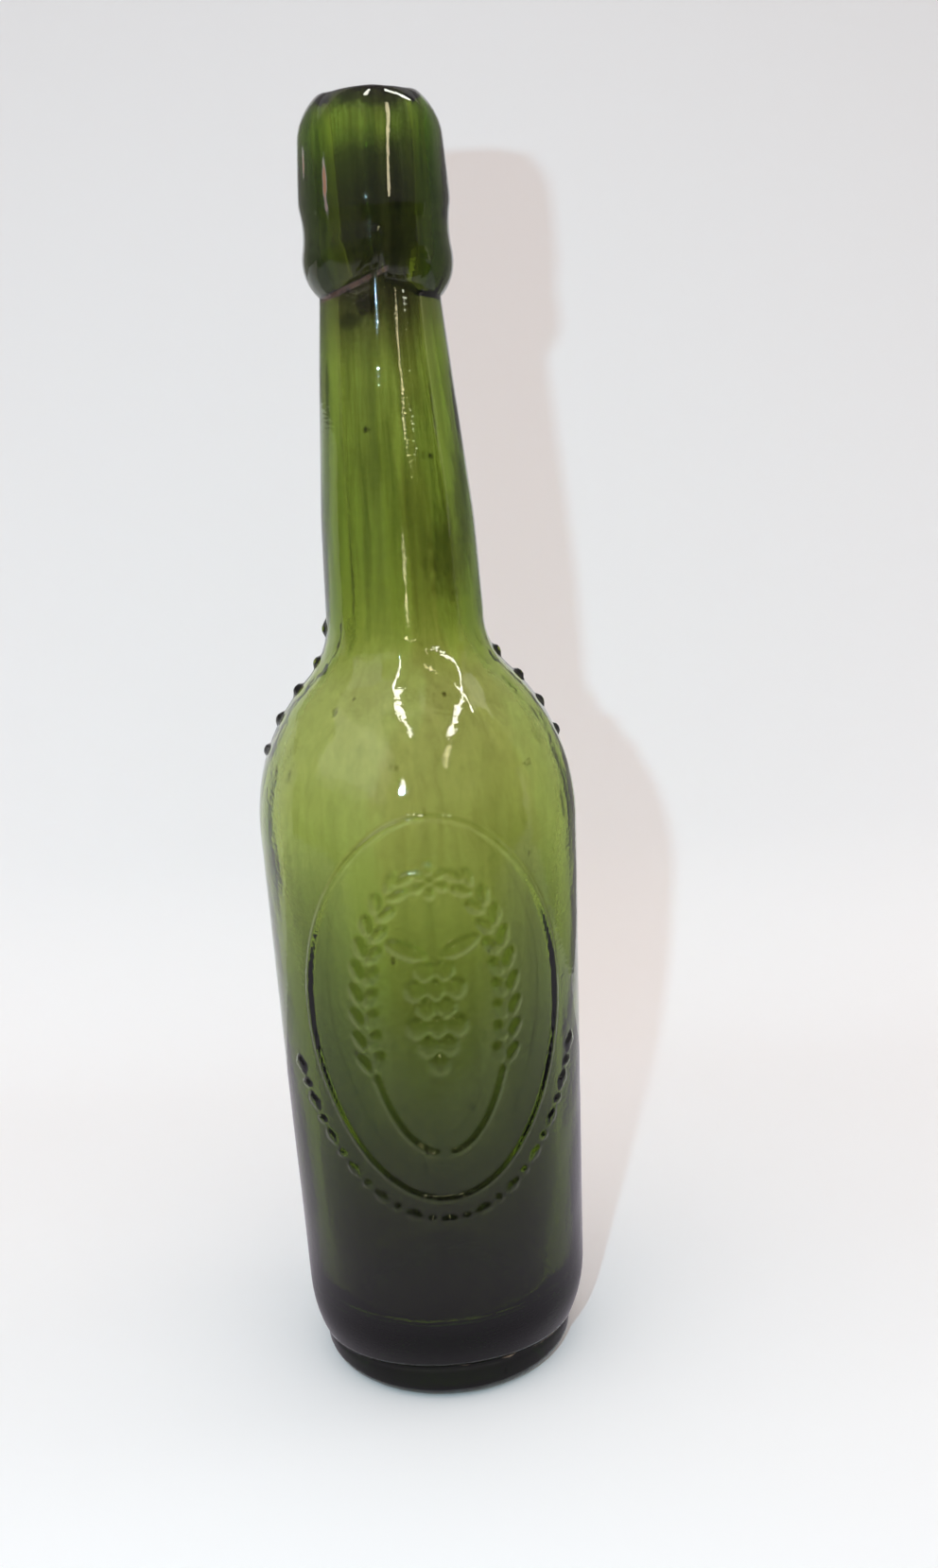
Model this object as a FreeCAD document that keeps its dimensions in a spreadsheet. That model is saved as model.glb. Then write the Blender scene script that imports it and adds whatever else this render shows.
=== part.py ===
import FreeCAD, Part
import math
import os

import Sketcher

# An empty, thick-walled beer bottle of green glass: mould-blown body with a tapering neck,
# a tall applied two-part lip, a narrow foot ring and a raised oval panel on its front.
# Millimetres, +Z up, standing on z = 0 with its axis on the origin, front towards -Y.

SIZES = {
    # heights, stacked from the floor up
    "body_height": 131.0,        # floor to the top of the body's side
    "knee_rise": 69.0,           # from there to the knee, where the neck begins to close in
    "neck_upper_length": 44.8,   # knee to the underside of the lip
    "lip_height": 40.2,          # underside of the lip to the rim
    # body and shoulder
    "body_radius": 35.5,
    "side_taper": 2.3,           # the body is this much slimmer above the heel
    "heel_height": 20.0,
    "heel_round": 33.0,
    "shoulder_round": 47.8,
    "neck_fillet": 18.2,
    # foot ring and base
    "foot_step": 3.6,            # the foot ring stands in from the heel by this much
    "foot_height": 6.2,
    "foot_edge_round": 4.0,
    "seam_depth": 0.45,          # groove between the foot ring and the heel
    "seam_gap": 1.2,
    "kick_radius": 22.0,         # push-up under the base
    "kick_depth": 5.0,
    # neck
    "neck_knee_radius": 16.3,
    "neck_lower_taper": 2.05,    # degrees
    "neck_knee_round": 150.0,
    "neck_top_radius": 12.5,
    # lip
    "lip_overhang": 3.0,         # lower band of the lip, out from the neck
    "lip_band_round": 10.0,
    "waist_depth": 0.6,          # groove between the lower band and the upper part
    "waist_drop": 27.0,          # below the rim
    "lip_step": 0.45,            # upper part, out from the waist
    "lip_side_drop": 21.0,
    "lip_taper": 3.5,            # degrees
    "lip_top_round": 13.5,
    "rim_round": 1.6,
    # inside
    "wall": 4.0,
    "neck_wall": 4.2,
    "bore_radius": 7.8,
    "bore_length": 30.0,
    "base_thickness": 8.0,
    "floor_round": 68.0,
    "inner_heel_round": 10.0,
    # raised work on the glass
    "relief_height": 0.5,
    "ring_centre_height": 98.5,
    "ring_half_width": 26.8,
    "ring_half_height": 44.0,
    "ring_width": 1.0,
    "relief_root": 1.0,          # how far the raised work is carried into the wall
    "stem_half_width": 15.5,     # the two ears of barley curve along an oval of this size
    "stem_half_height": 33.0,
    "stem_width": 1.1,
    "grain_length": 4.6,
    "grain_width": 2.0,
    "scale_length": 4.8,         # one scale of the hop cone
    "scale_width": 4.0,
    "scale_gap": 0.3,
    "hop_top_height": 109.0,
    "leaf_length": 9.0,
    "leaf_width": 3.4,
    "rosette_height": 129.0,
    "petal_length": 2.9,
    "petal_width": 1.7,
    "border_gap": 5.2,           # from the ring out to the border under it
    "lozenge_length": 4.4,
    "lozenge_width": 2.3,
    "dot_width": 1.7,
    "bead_length": 3.2,
    "bead_width": 2.6,
    "bead_height": 1.15,
    "bead_pitch": 7.75,
    "bead_first": 1.2,           # from the root of the neck down to the first bead
    "bead_turn": 96.0,           # degrees round from the front
}

GRAIN_PAIRS = 9
GRAIN_LEAN = 24                  # degrees out from the ear
EAR_ANGLES = (-20, 62)           # stretch of the stems' oval that carries grain, degrees
STEM_ANGLES = (-84, -26)
TIP_TURN = 9                     # from the last pair to the grain at the ear's tip
HOP_ROWS = (2, 3, 2, 3, 2, 1)    # scales in each row of the cone, from the top
LEAF_LEAN = 24
LEAF_REACH = 0.62                # leaf's centre from the stalk, in leaf lengths
PETALS = 6
LOZENGES = 13
BORDER_ANGLES = (-160, -20)
BEADS = 5                        # on the left; the right side leaves out the top one

KNEE = "(Sizes.body_height + Sizes.knee_rise)"
LIP_BASE = "(Sizes.body_height + Sizes.knee_rise + Sizes.neck_upper_length)"
RIM = "(Sizes.body_height + Sizes.knee_rise + Sizes.neck_upper_length + Sizes.lip_height)"
HEEL_RADIUS = "(Sizes.body_radius - Sizes.side_taper)"
FOOT_RADIUS = "(Sizes.body_radius - Sizes.side_taper - Sizes.foot_step)"
BAND_RADIUS = "(Sizes.neck_top_radius + Sizes.lip_overhang)"
WAIST_RADIUS = "(Sizes.neck_top_radius + Sizes.lip_overhang - Sizes.waist_depth)"
LIP_RADIUS = "(Sizes.neck_top_radius + Sizes.lip_overhang - Sizes.waist_depth + Sizes.lip_step)"

START, END, CENTRE = 1, 2, 3

doc = FreeCAD.newDocument("Bottle")


def make_sheet():
    """The sheet of driving sizes, one named cell each."""
    sheet = doc.addObject("Spreadsheet::Sheet", "Sizes")
    for row, (name, value) in enumerate(SIZES.items(), start=1):
        sheet.set("A%d" % row, name)
        sheet.set("B%d" % row, str(value))
        sheet.setAlias("B%d" % row, name)
    doc.recompute()
    return sheet


sheet = make_sheet()


def size(name):
    return float(getattr(sheet, name))


def origin_plane(body, role):
    return [feature for feature in body.Origin.OriginFeatures if feature.Role == role][0]


class Outline:
    """A closed half-section, drawn on a body's XZ plane: x is the radius and y the height."""

    def __init__(self, body, name):
        self.sketch = body.newObject("Sketcher::SketchObject", name)
        self.sketch.AttachmentSupport = [(origin_plane(body, "XZ_Plane"), "")]
        self.sketch.MapMode = "FlatFace"

    def line(self, start, end):
        segment = Part.LineSegment(FreeCAD.Vector(*start, 0), FreeCAD.Vector(*end, 0))
        return self.sketch.addGeometry(segment, False)

    def arc(self, start, through, end):
        """An arc through three points. Returns its index and its ends in drawing order."""
        points = [FreeCAD.Vector(*point, 0) for point in (start, through, end)]
        drawn = Part.Arc(*points).toShape().Curve
        centre = drawn.Center
        angles = [math.atan2(point.y - centre.y, point.x - centre.x) for point in points]
        circle = Part.Circle(centre, FreeCAD.Vector(0, 0, 1), drawn.Radius)
        to_middle, to_end = [(angle - angles[0]) % (2 * math.pi) for angle in angles[1:]]
        if to_middle < to_end:
            arc = Part.ArcOfCircle(circle, angles[0], angles[0] + to_end)
            return self.sketch.addGeometry(arc, False), START, END
        arc = Part.ArcOfCircle(circle, angles[2], angles[2] + 2 * math.pi - to_end)
        return self.sketch.addGeometry(arc, False), END, START

    def rule(self, kind, *where, size_of=None, value=1.0):
        """One constraint, bound to an expression when size_of is given."""
        if size_of is None:
            self.sketch.addConstraint(Sketcher.Constraint(kind, *where))
            return
        index = self.sketch.addConstraint(Sketcher.Constraint(kind, *where, value))
        self.sketch.setExpression("Constraints[%d]" % index, size_of)

    def pin(self, geometry, point, radius, height):
        """Fix a point at a radius and a height, each a number's expression."""
        here = self.sketch.getPoint(geometry, point)
        self.rule("DistanceX", geometry, point, size_of=radius, value=max(here.x, 0.01))
        self.rule("DistanceY", geometry, point, size_of=height, value=max(here.y, 0.01))

    def join(self, first, first_end, second, second_end):
        self.rule("Coincident", first, first_end, second, second_end)

    def smooth(self, first, first_end, second, second_end):
        self.rule("Tangent", first, first_end, second, second_end)

    def radius(self, arc, expression):
        self.rule("Radius", arc, size_of=expression, value=self.sketch.Geometry[arc].Radius)



def turned(radius, degrees):
    """A step of the given length at an angle above the +x direction."""
    angle = math.radians(degrees)
    return radius * math.cos(angle), radius * math.sin(angle)


def shifted(point, step):
    return point[0] + step[0], point[1] + step[1]


def lean_of(start, end):
    """The direction from one point to another, in degrees above the +x direction."""
    return math.degrees(math.atan2(end[1] - start[1], end[0] - start[0]))


def between(first, second, share):
    return first[0] + (second[0] - first[0]) * share, first[1] + (second[1] - first[1]) * share


def neck_fillet(side_centre, side_radius, on_line, taper, fillet):
    """Where an inward curve of radius fillet touches the shoulder's arc and the neck's line.

    Returns the point on the arc, the middle of the curve, and the point on the line.
    """
    out = turned(1.0, taper)
    down = (out[1], -out[0])
    reach = shifted(shifted(on_line, turned(fillet, taper)), (-side_centre[0], -side_centre[1]))
    along = reach[0] * down[0] + reach[1] * down[1]
    square = along ** 2 - reach[0] ** 2 - reach[1] ** 2 + (side_radius + fillet) ** 2
    travel = -along - math.sqrt(square)
    on_neck = shifted(on_line, (down[0] * travel, down[1] * travel))
    centre = shifted(on_neck, turned(fillet, taper))
    on_shoulder = between(side_centre, centre, side_radius / (side_radius + fillet))
    chord = between(on_shoulder, on_neck, 0.5)
    away = math.hypot(chord[0] - centre[0], chord[1] - centre[1])
    middle = between(centre, chord, fillet / away)
    return on_shoulder, middle, on_neck


def draw_outside(body):
    """The outer half-section, from the push-up under the base to the crown of the rim."""
    outline = Outline(body, "OuterSection")
    foot = size("body_radius") - size("side_taper") - size("foot_step")
    heel = size("body_radius") - size("side_taper")
    knee = (size("neck_knee_radius"), size("body_height") + size("knee_rise"))
    lip_base = knee[1] + size("neck_upper_length")
    rim = lip_base + size("lip_height")
    band = size("neck_top_radius") + size("lip_overhang")
    waist = band - size("waist_depth")
    lip = waist + size("lip_step")

    # base: push-up, bearing ring, foot ring and the groove above it
    apex = (0.0, size("kick_depth"))
    kick_edge = (size("kick_radius"), 0.0)
    bearing_end = (foot - size("foot_edge_round"), 0.0)
    foot_low = (foot, size("foot_edge_round"))
    foot_top = (foot, size("foot_height"))
    groove = (foot - size("seam_depth"), size("foot_height") + size("seam_gap") / 2)
    rise = size("heel_height") - size("foot_height") - size("seam_gap")
    heel_low = (heel - rise ** 2 / (2 * size("heel_round")), size("foot_height") + size("seam_gap"))
    heel_top = (heel, size("heel_height"))
    side_top = (size("body_radius"), size("body_height"))
    kick, kick_start, kick_end = outline.arc(apex, (size("kick_radius") / 2, apex[1] * 0.75), kick_edge)
    bearing = outline.line(kick_edge, bearing_end)
    corner = shifted((bearing_end[0], foot_low[1]), turned(size("foot_edge_round"), -45))
    edge, edge_start, edge_end = outline.arc(bearing_end, corner, foot_low)
    foot_side = outline.line(foot_low, foot_top)
    groove_in = outline.line(foot_top, groove)
    groove_out = outline.line(groove, heel_low)
    heel_middle = (heel - (heel - heel_low[0]) / 4, (heel_low[1] + heel_top[1]) / 2)
    heel_arc, heel_start, heel_end = outline.arc(heel_low, heel_middle, heel_top)
    side = outline.line(heel_top, side_top)

    # shoulder and neck
    side_centre = (size("body_radius") - size("shoulder_round"), size("body_height"))
    on_shoulder, fillet_middle, root = neck_fillet(
        side_centre, size("shoulder_round"), knee, size("neck_lower_taper"), size("neck_fillet"))
    half_turn = lean_of(side_centre, on_shoulder) / 2
    shoulder_middle = shifted(side_centre, turned(size("shoulder_round"), half_turn))
    shoulder, shoulder_start, shoulder_end = outline.arc(side_top, shoulder_middle, on_shoulder)
    fillet, fillet_start, fillet_end = outline.arc(on_shoulder, fillet_middle, root)
    neck_top = (size("neck_top_radius"), lip_base)
    upper_taper = math.degrees(math.atan2(knee[0] - neck_top[0], size("neck_upper_length")))
    turn = math.radians(upper_taper - size("neck_lower_taper"))
    tangent = size("neck_knee_round") * math.tan(turn / 2)
    knee_low = shifted(knee, turned(tangent, size("neck_lower_taper") - 90))
    knee_high = shifted(knee, turned(tangent, upper_taper + 90))
    lower_neck = outline.line(root, knee_low)
    knee_middle = between(between(knee_low, knee_high, 0.5), knee, 0.5)
    knee_arc, knee_start, knee_end = outline.arc(knee_low, knee_middle, knee_high)
    upper_neck = outline.line(knee_high, neck_top)
    knee_mark = outline.sketch.addGeometry(Part.Point(FreeCAD.Vector(*knee, 0)), True)

    # lip: rounded lower band, waist, upper part and crown
    band_centre_radius = band - size("lip_band_round")
    band_rise = math.sqrt(size("lip_band_round") ** 2 - (neck_top[0] - band_centre_radius) ** 2)
    band_height = lip_base + band_rise
    waist_height = rim - size("waist_drop")
    lip_side = (lip, rim - size("lip_side_drop"))
    to_waist = (band - size("waist_depth") * 0.4, between((0, band_height), (0, waist_height), 0.3)[1])
    to_lip = (waist + size("lip_step") * 0.6, between((0, waist_height), (0, lip_side[1]), 0.6)[1])
    band_arc, band_start, band_end = outline.arc(neck_top, (band, band_height), to_waist)
    waist_arc, waist_start, waist_end = outline.arc(to_waist, (waist, waist_height), to_lip)
    step_middle = shifted(between(to_lip, lip_side, 0.5), (0.05, 0))
    step_arc, step_start, step_end = outline.arc(to_lip, step_middle, lip_side)
    rim_centre = (size("bore_radius") + size("rim_round"), rim - size("rim_round"))
    crown_low = shifted(rim_centre, turned(size("rim_round"), 45))
    crown_top = (rim_centre[0], rim)
    top_centre = shifted(rim_centre, turned(size("lip_top_round") - size("rim_round"), 225))
    top_low = shifted(top_centre, turned(size("lip_top_round"), size("lip_taper")))
    lip_line = outline.line(lip_side, top_low)
    top_middle = shifted(top_centre, turned(size("lip_top_round"), 25))
    top_arc, top_start, top_end = outline.arc(top_low, top_middle, crown_low)
    crown_middle = shifted(rim_centre, turned(size("rim_round"), 67.5))
    crown, crown_start, crown_end = outline.arc(crown_low, crown_middle, crown_top)
    lid = outline.line(crown_top, (0.0, rim))
    axis = outline.line((0.0, rim), apex)
    waist_mark = outline.sketch.addGeometry(Part.Point(FreeCAD.Vector(waist, waist_height, 0)), True)

    foot_radius_low = FOOT_RADIUS + " - Sizes.foot_edge_round"
    outline.pin(kick, kick_start, "0", "Sizes.kick_depth")
    outline.rule("PointOnObject", kick, CENTRE, -2)
    outline.pin(kick, kick_end, "Sizes.kick_radius", "0")
    outline.join(kick, kick_end, bearing, START)
    outline.pin(bearing, END, foot_radius_low, "0")
    outline.smooth(bearing, END, edge, edge_start)
    outline.smooth(edge, edge_end, foot_side, START)
    outline.rule("Vertical", foot_side)
    outline.radius(edge, "Sizes.foot_edge_round")
    outline.rule("DistanceY", foot_side, END, size_of="Sizes.foot_height", value=foot_top[1])
    outline.join(foot_side, END, groove_in, START)
    outline.join(groove_in, END, groove_out, START)
    outline.pin(groove_in, END, FOOT_RADIUS + " - Sizes.seam_depth",
                "Sizes.foot_height + Sizes.seam_gap / 2")
    outline.join(groove_out, END, heel_arc, heel_start)
    outline.rule("DistanceY", groove_out, END, size_of="Sizes.foot_height + Sizes.seam_gap",
                 value=heel_low[1])
    outline.pin(side, START, HEEL_RADIUS, "Sizes.heel_height")
    outline.pin(side, END, "Sizes.body_radius", "Sizes.body_height")
    outline.radius(heel_arc, "Sizes.heel_round")
    outline.smooth(heel_arc, heel_end, side, START)

    outline.smooth(side, END, shoulder, shoulder_start)
    outline.radius(shoulder, "Sizes.shoulder_round")
    outline.smooth(shoulder, shoulder_end, fillet, fillet_start)
    outline.radius(fillet, "Sizes.neck_fillet")
    outline.smooth(fillet, fillet_end, lower_neck, START)
    outline.pin(knee_mark, START, "Sizes.neck_knee_radius", KNEE)
    outline.rule("PointOnObject", knee_mark, START, lower_neck)
    outline.rule("PointOnObject", knee_mark, START, upper_neck)
    lean = math.radians(90 + size("neck_lower_taper"))
    outline.rule("Angle", lower_neck, size_of="90 + Sizes.neck_lower_taper", value=lean)
    outline.smooth(lower_neck, END, knee_arc, knee_start)
    outline.radius(knee_arc, "Sizes.neck_knee_round")
    outline.smooth(knee_arc, knee_end, upper_neck, START)
    outline.pin(upper_neck, END, "Sizes.neck_top_radius", LIP_BASE)

    outline.join(upper_neck, END, band_arc, band_start)
    outline.radius(band_arc, "Sizes.lip_band_round")
    outline.rule("DistanceX", band_arc, CENTRE, size_of=BAND_RADIUS + " - Sizes.lip_band_round",
                 value=band_centre_radius)
    outline.smooth(band_arc, band_end, waist_arc, waist_start)
    outline.pin(waist_mark, START, WAIST_RADIUS, RIM + " - Sizes.waist_drop")
    outline.rule("PointOnObject", waist_mark, START, waist_arc)
    outline.rule("DistanceY", waist_arc, CENTRE, size_of=RIM + " - Sizes.waist_drop", value=waist_height)
    outline.smooth(waist_arc, waist_end, step_arc, step_start)
    outline.smooth(step_arc, step_end, lip_line, START)
    outline.pin(lip_line, START, LIP_RADIUS, RIM + " - Sizes.lip_side_drop")
    lean = math.radians(90 + size("lip_taper"))
    outline.rule("Angle", lip_line, size_of="90 + Sizes.lip_taper", value=lean)
    outline.smooth(lip_line, END, top_arc, top_start)
    outline.radius(top_arc, "Sizes.lip_top_round")
    outline.smooth(top_arc, top_end, crown, crown_start)
    outline.radius(crown, "Sizes.rim_round")
    outline.pin(crown, CENTRE, "Sizes.bore_radius + Sizes.rim_round", RIM + " - Sizes.rim_round")
    outline.smooth(crown, crown_end, lid, START)
    outline.rule("Horizontal", lid)
    outline.join(lid, END, axis, START)
    outline.join(axis, END, kick, kick_start)
    outline.rule("Vertical", axis)
    return outline.sketch, shoulder, fillet



def draw_inside(body):
    """The half-section of the hollow, from the crown down the bore to the floor."""
    outline = Outline(body, "InnerSection")
    rim = size("body_height") + size("knee_rise") + size("neck_upper_length") + size("lip_height")
    knee = (size("neck_knee_radius") - size("neck_wall"), size("body_height") + size("knee_rise"))
    side_top = (size("body_radius") - size("wall"), size("body_height"))
    side_low = (size("body_radius") - size("side_taper") - size("wall"), size("heel_height"))
    apex = (0.0, size("kick_depth") + size("base_thickness"))

    # crown, bore and the neck's inside down to the knee
    crown_top = (size("bore_radius") + size("rim_round"), rim)
    crown_centre = shifted(crown_top, (0, -size("rim_round")))
    crown_low = shifted(crown_centre, (-size("rim_round"), 0))
    bore_low = (size("bore_radius"), rim - size("bore_length"))
    lid = outline.line((0.0, rim), crown_top)
    crown_middle = shifted(crown_centre, turned(size("rim_round"), 135))
    crown, crown_start, crown_end = outline.arc(crown_top, crown_middle, crown_low)
    bore = outline.line(crown_low, bore_low)
    upper_neck = outline.line(bore_low, knee)

    # root of the neck, shoulder and side
    side_radius = size("shoulder_round") - size("wall")
    side_centre = shifted(side_top, (-side_radius, 0))
    on_shoulder, fillet_middle, root = neck_fillet(
        side_centre, side_radius, knee, size("neck_lower_taper"), size("neck_fillet") + size("wall"))
    lower_neck = outline.line(knee, root)
    fillet, fillet_start, fillet_end = outline.arc(root, fillet_middle, on_shoulder)
    half_turn = lean_of(side_centre, on_shoulder) / 2
    shoulder_middle = shifted(side_centre, turned(side_radius, half_turn))
    shoulder, shoulder_start, shoulder_end = outline.arc(on_shoulder, shoulder_middle, side_top)
    side = outline.line(side_top, side_low)
    side_mark = outline.sketch.addGeometry(Part.Point(FreeCAD.Vector(*side_low, 0)), True)

    # inner heel and the floor, which is domed over the push-up
    heel_round = size("inner_heel_round")
    floor_centre = (0.0, apex[1] - size("floor_round"))
    reach = size("floor_round") + heel_round
    heel_centre_radius = side_low[0] - heel_round
    heel_centre = (heel_centre_radius, floor_centre[1] + math.sqrt(reach ** 2 - heel_centre_radius ** 2))
    heel_top = shifted(heel_centre, (heel_round, 0))
    on_floor = between(floor_centre, heel_centre, size("floor_round") / reach)
    heel_middle = shifted(heel_centre, turned(heel_round, -45))
    heel, heel_start, heel_end = outline.arc(heel_top, heel_middle, on_floor)
    floor_lean = (lean_of(floor_centre, on_floor) + 90) / 2
    floor_middle = shifted(floor_centre, turned(size("floor_round"), floor_lean))
    floor, floor_start, floor_end = outline.arc(on_floor, floor_middle, apex)
    axis = outline.line(apex, (0.0, rim))

    outline.pin(lid, END, "Sizes.bore_radius + Sizes.rim_round", RIM)
    outline.rule("Horizontal", lid)
    outline.join(lid, END, crown, crown_start)
    outline.smooth(crown, crown_end, bore, START)
    outline.radius(crown, "Sizes.rim_round")
    outline.rule("Vertical", bore)
    outline.pin(bore, END, "Sizes.bore_radius", RIM + " - Sizes.bore_length")
    outline.join(bore, END, upper_neck, START)
    outline.pin(upper_neck, END, "Sizes.neck_knee_radius - Sizes.neck_wall", KNEE)
    outline.join(upper_neck, END, lower_neck, START)
    lean = math.radians(size("neck_lower_taper") - 90)
    outline.rule("Angle", lower_neck, size_of="Sizes.neck_lower_taper - 90", value=lean)
    outline.smooth(lower_neck, END, fillet, fillet_start)
    outline.radius(fillet, "Sizes.neck_fillet + Sizes.wall")
    outline.smooth(fillet, fillet_end, shoulder, shoulder_start)
    outline.radius(shoulder, "Sizes.shoulder_round - Sizes.wall")
    outline.smooth(shoulder, shoulder_end, side, START)
    outline.pin(side, START, "Sizes.body_radius - Sizes.wall", "Sizes.body_height")
    outline.pin(side_mark, START, HEEL_RADIUS + " - Sizes.wall", "Sizes.heel_height")
    outline.rule("PointOnObject", side_mark, START, side)
    outline.smooth(side, END, heel, heel_start)
    outline.radius(heel, "Sizes.inner_heel_round")
    outline.smooth(heel, heel_end, floor, floor_start)
    outline.rule("PointOnObject", floor, CENTRE, -2)
    outline.radius(floor, "Sizes.floor_round")
    outline.pin(floor, floor_end, "0", "Sizes.kick_depth + Sizes.base_thickness")
    outline.join(floor, floor_end, axis, START)
    outline.join(axis, END, lid, START)
    outline.rule("Vertical", axis)
    return outline.sketch


def draw_skin(body):
    """A thin shell over the side and shoulder, in which all raised work lies."""
    outline = Outline(body, "SkinSection")
    top = size("body_height") + size("shoulder_round") / 2

    def chain(offset_name, sign):
        """The side and shoulder, offset by one named size outward or inward."""
        offset = sign * size(offset_name)
        bound = " + Sizes." + offset_name if sign > 0 else " - Sizes." + offset_name
        low = (size("body_radius") - size("side_taper") + offset, size("heel_height"))
        high = (size("body_radius") + offset, size("body_height"))
        bend = size("shoulder_round") + offset
        centre = shifted(high, (-bend, 0))
        lean = math.degrees(math.asin((top - centre[1]) / bend))
        side = outline.line(low, high)
        end = shifted(centre, turned(bend, lean))
        bow, bow_start, bow_end = outline.arc(high, shifted(centre, turned(bend, lean / 2)), end)
        outline.pin(side, START, HEEL_RADIUS + bound, "Sizes.heel_height")
        outline.pin(side, END, "Sizes.body_radius" + bound, "Sizes.body_height")
        outline.smooth(side, END, bow, bow_start)
        outline.radius(bow, "Sizes.shoulder_round" + bound)
        outline.rule("DistanceY", bow, bow_end, size_of="Sizes.body_height + Sizes.shoulder_round / 2",
                     value=top)
        return side, bow, bow_end, low, end

    outer_side, outer_bow, outer_end, outer_low, outer_high = chain("relief_height", 1)
    inner_side, inner_bow, inner_end, inner_low, inner_high = chain("relief_root", -1)
    foot = outline.line(inner_low, outer_low)
    cap = outline.line(outer_high, inner_high)
    outline.join(foot, START, inner_side, START)
    outline.join(foot, END, outer_side, START)
    outline.join(cap, START, outer_bow, outer_end)
    outline.join(cap, END, inner_bow, inner_end)
    return outline.sketch


def spin(body, kind, sketch, name):
    """A full turn of a half-section about the sketch's own vertical axis."""
    feature = body.newObject(kind, name)
    feature.Profile = sketch
    feature.ReferenceAxis = (sketch, ["V_Axis"])
    feature.Angle = 360.0
    doc.recompute()
    return feature


def on_oval(half_width, half_height, degrees):
    """A point of the oval round the panel's centre, and the way along it, in degrees."""
    angle = math.radians(degrees)
    point = (half_width * math.cos(angle), size("ring_centre_height") + half_height * math.sin(angle))
    along = math.degrees(math.atan2(half_height * math.cos(angle), -half_width * math.sin(angle)))
    return point, along


def even_angles(half_width, half_height, first, last, count):
    """Angles that divide a stretch of an oval into even lengths."""
    steps = 400                  # fine enough for lengths to a tenth of a millimetre
    angles = [first + (last - first) * step / steps for step in range(steps + 1)]
    lengths = [0.0]
    for before, after in zip(angles, angles[1:]):
        start, _ = on_oval(half_width, half_height, before)
        end, _ = on_oval(half_width, half_height, after)
        lengths.append(lengths[-1] + math.dist(start, end))
    chosen = []
    for index in range(count):
        wanted = lengths[-1] * index / (count - 1)
        nearest = min(range(steps + 1), key=lambda step: abs(lengths[step] - wanted))
        chosen.append(angles[nearest])
    return chosen


def upright(point):
    """A point of the panel, given as width and height, in the plane y = 0."""
    return FreeCAD.Vector(point[0], 0, point[1])


def oval_face(centre, length, width, degrees):
    """An upright oval whose long way lies at an angle above the +x direction."""
    length, width = max(length, width), min(length, width)
    major = upright(shifted(centre, turned(length / 2, degrees)))
    minor = upright(shifted(centre, turned(width / 2, degrees + 90)))
    return Part.Face(Part.Wire(Part.Ellipse(major, minor, upright(centre)).toShape()))


def round_face(centre, width):
    circle = Part.Circle(upright(centre), FreeCAD.Vector(0, 1, 0), width / 2)
    return Part.Face(Part.Wire(circle.toShape()))


def lozenge_face(centre, length, width, degrees):
    corners = []
    for quarter, reach in enumerate((length, width, length, width)):
        corners.append(upright(shifted(centre, turned(reach / 2, degrees + 90 * quarter))))
    return Part.Face(Part.makePolygon(corners + corners[:1]))


def stem_face(first, last):
    """A strip of even width along the stems' oval, between two angles."""
    half = size("stem_width") / 2
    edges = []
    ends = []
    for offset in (-half, half):
        width, height = size("stem_half_width") + offset, size("stem_half_height") + offset
        points = [upright(on_oval(width, height, angle)[0]) for angle in (first, (first + last) / 2, last)]
        edges.append(Part.Arc(*points).toShape())
        ends.append((points[0], points[2]))
    edges.append(Part.makeLine(ends[0][0], ends[1][0]))
    edges.append(Part.makeLine(ends[0][1], ends[1][1]))
    return Part.Face(Part.Wire(Part.__sortEdges__(edges)))


def mirrored(point, along, side):
    """A place and direction on the panel's right half, or its mirror image for side -1."""
    return ((point[0], point[1]), along) if side > 0 else ((-point[0], point[1]), 180 - along)


def barley(side):
    """One ear of barley: side is 1 on the right and -1 on the left."""
    width, height = size("stem_half_width"), size("stem_half_height")
    from_stem = (size("grain_width") + size("stem_width")) / 2
    angles = even_angles(width, height, *EAR_ANGLES, GRAIN_PAIRS)
    places = []
    for angle in angles:
        for hand in (-1, 1):
            point, along = on_oval(width + hand * from_stem, height + hand * from_stem, angle)
            places.append((point, along - hand * GRAIN_LEAN))
    places.append(on_oval(width, height, angles[-1] + TIP_TURN))
    faces = []
    for point, along in places:
        centre, way = mirrored(point, along, side)
        faces.append(oval_face(centre, size("grain_length"), size("grain_width"), way))
    return faces


def hop():
    """A hanging hop cone of staggered scales under two leaves."""
    faces = []
    length, width, gap = size("scale_length"), size("scale_width"), size("scale_gap")
    spread = width + gap
    pitch = gap + length * math.sqrt(1 - (spread / (2 * width)) ** 2)
    for row, count in enumerate(HOP_ROWS):
        for place in range(count):
            across = spread * (place - (count - 1) / 2)
            faces.append(oval_face((across, size("hop_top_height") - pitch * row), length, width, 90))
    for side in (-1, 1):
        leaf = (side * size("leaf_length") * LEAF_REACH, size("hop_top_height") + length)
        faces.append(oval_face(leaf, size("leaf_length"), size("leaf_width"), side * LEAF_LEAN))
    return faces


def rosette():
    """A dot with petals round it."""
    centre = (0.0, size("rosette_height"))
    faces = [round_face(centre, size("dot_width"))]
    reach = (size("dot_width") + size("petal_length")) / 2 + size("scale_gap")
    for petal in range(PETALS):
        way = 90 + 360 * petal / PETALS
        middle = shifted(centre, turned(reach, way))
        faces.append(oval_face(middle, size("petal_length"), size("petal_width"), way))
    return faces


def border():
    """Lozenges and dots in turn, in a curve under the ring."""
    width = size("ring_half_width") + size("border_gap")
    height = size("ring_half_height") + size("border_gap")
    faces = []
    for index, angle in enumerate(even_angles(width, height, *BORDER_ANGLES, 2 * LOZENGES - 1)):
        point, along = on_oval(width, height, angle)
        if index % 2:
            faces.append(round_face(point, size("dot_width")))
        else:
            faces.append(lozenge_face(point, size("lozenge_length"), size("lozenge_width"), along))
    return faces


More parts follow.
